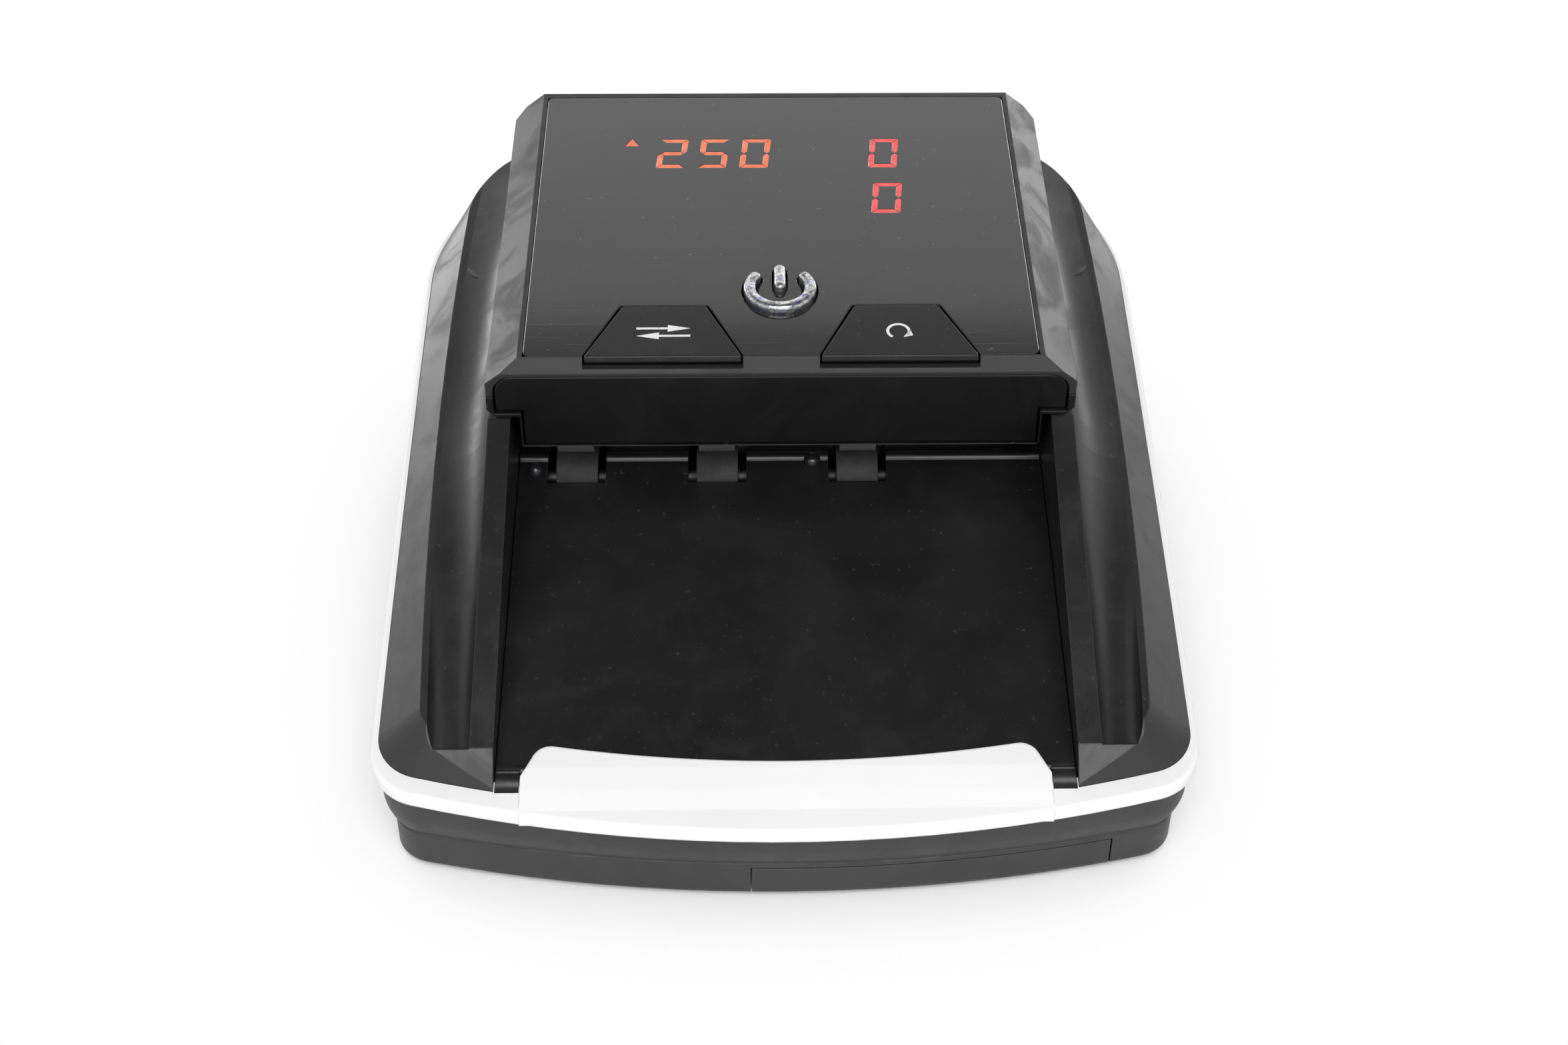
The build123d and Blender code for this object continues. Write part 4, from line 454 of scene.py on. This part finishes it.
def arc_band(x, s):
    """Band along the loop's arc round x, s."""
    outer = []
    inner = []
    for i in range(loop_steps + 1):
        angle = math.radians(loop_start + (loop_end - loop_start) * i / loop_steps)
        for edge, radius in ((outer, loop_radius + loop_width / 2), (inner, loop_radius - loop_width / 2)):
            edge.append((x + radius * math.cos(angle), s + radius * math.sin(angle)))
    return outer + inner[::-1]


ink = ink_white("ink_white")
to_right = arrow(-key_x - arrow_long / 2, mark_s + arrow_off, 1)
to_left = arrow(-key_x + arrow_long / 2, mark_s - arrow_off, -1)
printed("mark_direction", [to_right, to_left], "left_button", ink)
head = [(key_x + x, mark_s + s) for x, s in loop_head]
printed("mark_repeat", [arc_band(key_x, mark_s), head], "right_button", ink)


# ---------------------------------------------------------------- floor, light, camera
def studio_floor():
    """Flat pale floor. The camera sees it white, and as lit paper close round the machine where ambient
    occlusion finds it, so the grey there is partly the paper's lit shade and partly a painted contact
    shadow.
    """
    reach = 6.0
    shade_reach = 0.05
    open_low = 0.25             # openness of the floor where it is all paper
    open_high = 0.85            # and where it is all white
    mesh = bpy.data.meshes.new("floor")
    build = bmesh.new()
    signs = ((-1, -1), (1, -1), (1, 1), (-1, 1))
    build.faces.new([build.verts.new((x * reach, y * reach, 0.0)) for x, y in signs])
    build.to_mesh(mesh)
    build.free()
    obj = bpy.data.objects.new("floor", mesh)
    bpy.context.scene.collection.objects.link(obj)
    f = Graph("floor_paper")
    paper = f.node("ShaderNodeBsdfDiffuse")
    f.put(paper.inputs["Color"], f.mix(f.noise(3.0), grey(0.92), grey(0.96)))
    lit = f.node("ShaderNodeEmission", Color=grey(1.0), Strength=1.0)
    ray = f.node("ShaderNodeLightPath")
    seen = f.math("MAXIMUM", ray.outputs["Is Camera Ray"], ray.outputs["Is Glossy Ray"])
    seen = f.math("MAXIMUM", seen, ray.outputs["Is Transmission Ray"])
    near = f.node("ShaderNodeAmbientOcclusion", Distance=shade_reach)
    near.samples = 8
    # painted contact shadow: ambient occlusion, not the lamps, decides where the white floor gives way to
    # the greyer lit paper
    contact_shade_mask = f.span(near.outputs["AO"], open_low, open_high)
    mixer = f.node("ShaderNodeMixShader")
    f.put(mixer.inputs["Fac"], f.math("MULTIPLY", seen, contact_shade_mask))
    f.put(mixer.inputs[1], paper.outputs["BSDF"])
    f.put(mixer.inputs[2], lit.outputs["Emission"])
    f.put(f.output.inputs["Surface"], mixer.outputs["Shader"])
    mesh.materials.append(f.material)


def softbox(name, azimuth, elevation, distance, size, glow):
    """Area light; azimuth in degrees from the back, positive to the right, glow is its radiance."""
    light = bpy.data.lights.new(name, "AREA")
    light.shape = "RECTANGLE"
    light.size, light.size_y = size
    light.energy = glow * math.pi * size[0] * size[1]
    obj = bpy.data.objects.new(name, light)
    bpy.context.scene.collection.objects.link(obj)
    turn = math.radians(azimuth)
    rise = math.radians(elevation)
    way = Vector((math.sin(turn) * math.cos(rise), math.cos(turn) * math.cos(rise), math.sin(rise)))
    target = Vector((0.0, 0.0, 0.03))
    obj.location = target + way * distance
    obj.rotation_euler = (-way).to_track_quat("-Z", "Y").to_euler()
    obj.visible_camera = False


def studio_world():
    """Backdrop: white all round up to a soft edge, with a dim ceiling over it, in a dim room."""
    room_strength = 0.32
    edge_low = 0.55             # upward part of the view direction
    edge_high = 0.88
    ceiling = 0.08
    world = bpy.data.worlds.new("studio")
    bpy.context.scene.world = world
    world.use_nodes = True
    tree = world.node_tree
    tree.nodes.clear()
    join = tree.links.new
    coords = tree.nodes.new("ShaderNodeTexCoord")
    split = tree.nodes.new("ShaderNodeSeparateXYZ")
    join(coords.outputs["Generated"], split.inputs["Vector"])
    fade = tree.nodes.new("ShaderNodeMapRange")
    fade.interpolation_type = "SMOOTHSTEP"
    join(split.outputs["Z"], fade.inputs["Value"])
    ends = {"From Min": edge_low, "From Max": edge_high, "To Min": 1.0, "To Max": ceiling}
    for key, value in ends.items():
        fade.inputs[key].default_value = value
    ambient = tree.nodes.new("ShaderNodeBackground")
    ambient.inputs["Color"].default_value = grey(1.0)
    ambient.inputs["Strength"].default_value = room_strength
    backdrop = tree.nodes.new("ShaderNodeBackground")
    backdrop.inputs["Color"].default_value = grey(1.0)
    join(fade.outputs["Result"], backdrop.inputs["Strength"])
    rays = tree.nodes.new("ShaderNodeLightPath")
    seen = rays.outputs["Is Camera Ray"]
    for name in ("Is Glossy Ray", "Is Transmission Ray"):
        either = tree.nodes.new("ShaderNodeMath")
        either.operation = "MAXIMUM"
        join(seen, either.inputs[0])
        join(rays.outputs[name], either.inputs[1])
        seen = either.outputs["Value"]
    mixer = tree.nodes.new("ShaderNodeMixShader")
    join(seen, mixer.inputs["Fac"])
    join(ambient.outputs["Background"], mixer.inputs[1])
    join(backdrop.outputs["Background"], mixer.inputs[2])
    end = tree.nodes.new("ShaderNodeOutputWorld")
    join(mixer.outputs["Shader"], end.inputs["Surface"])


studio_floor()
studio_world()
softbox("back_box", azimuth=0, elevation=34, distance=1.25, size=(1.5, 0.45), glow=0.82)
softbox("left_box", azimuth=-43, elevation=3.5, distance=1.1, size=(0.36, 0.16), glow=11.5)
softbox("right_box", azimuth=36, elevation=3.5, distance=1.1, size=(0.3, 0.16), glow=13.0)
softbox("front_box", azimuth=180, elevation=45, distance=1.0, size=(0.9, 0.7), glow=4.4)

camera_place = Vector((-5.82, -303.06, 270.5)) * MM
camera_yaw = math.radians(1.24)
camera_pitch = math.radians(40.0)
camera_roll = math.radians(0.44)
focal_mm = 52.04
sensor_mm = 36.0
forward = Vector((
    math.sin(camera_yaw) * math.cos(camera_pitch),
    math.cos(camera_yaw) * math.cos(camera_pitch),
    -math.sin(camera_pitch),
))
across = Vector((math.cos(camera_yaw), -math.sin(camera_yaw), 0.0))
lift = across.cross(forward)
right = across * math.cos(camera_roll) + lift * math.sin(camera_roll)
upward = lift * math.cos(camera_roll) - across * math.sin(camera_roll)
camera = bpy.data.objects.new("camera", bpy.data.cameras.new("camera"))
camera.data.sensor_width = sensor_mm
camera.data.lens = focal_mm
camera.data.clip_start = 0.01
camera.data.clip_end = 20.0
camera.matrix_world = Matrix((
    (right.x, upward.x, -forward.x, camera_place.x),
    (right.y, upward.y, -forward.y, camera_place.y),
    (right.z, upward.z, -forward.z, camera_place.z),
    (0.0, 0.0, 0.0, 1.0),
))
bpy.context.scene.collection.objects.link(camera)
bpy.context.scene.camera = camera
bpy.context.scene.view_settings.view_transform = "Standard"
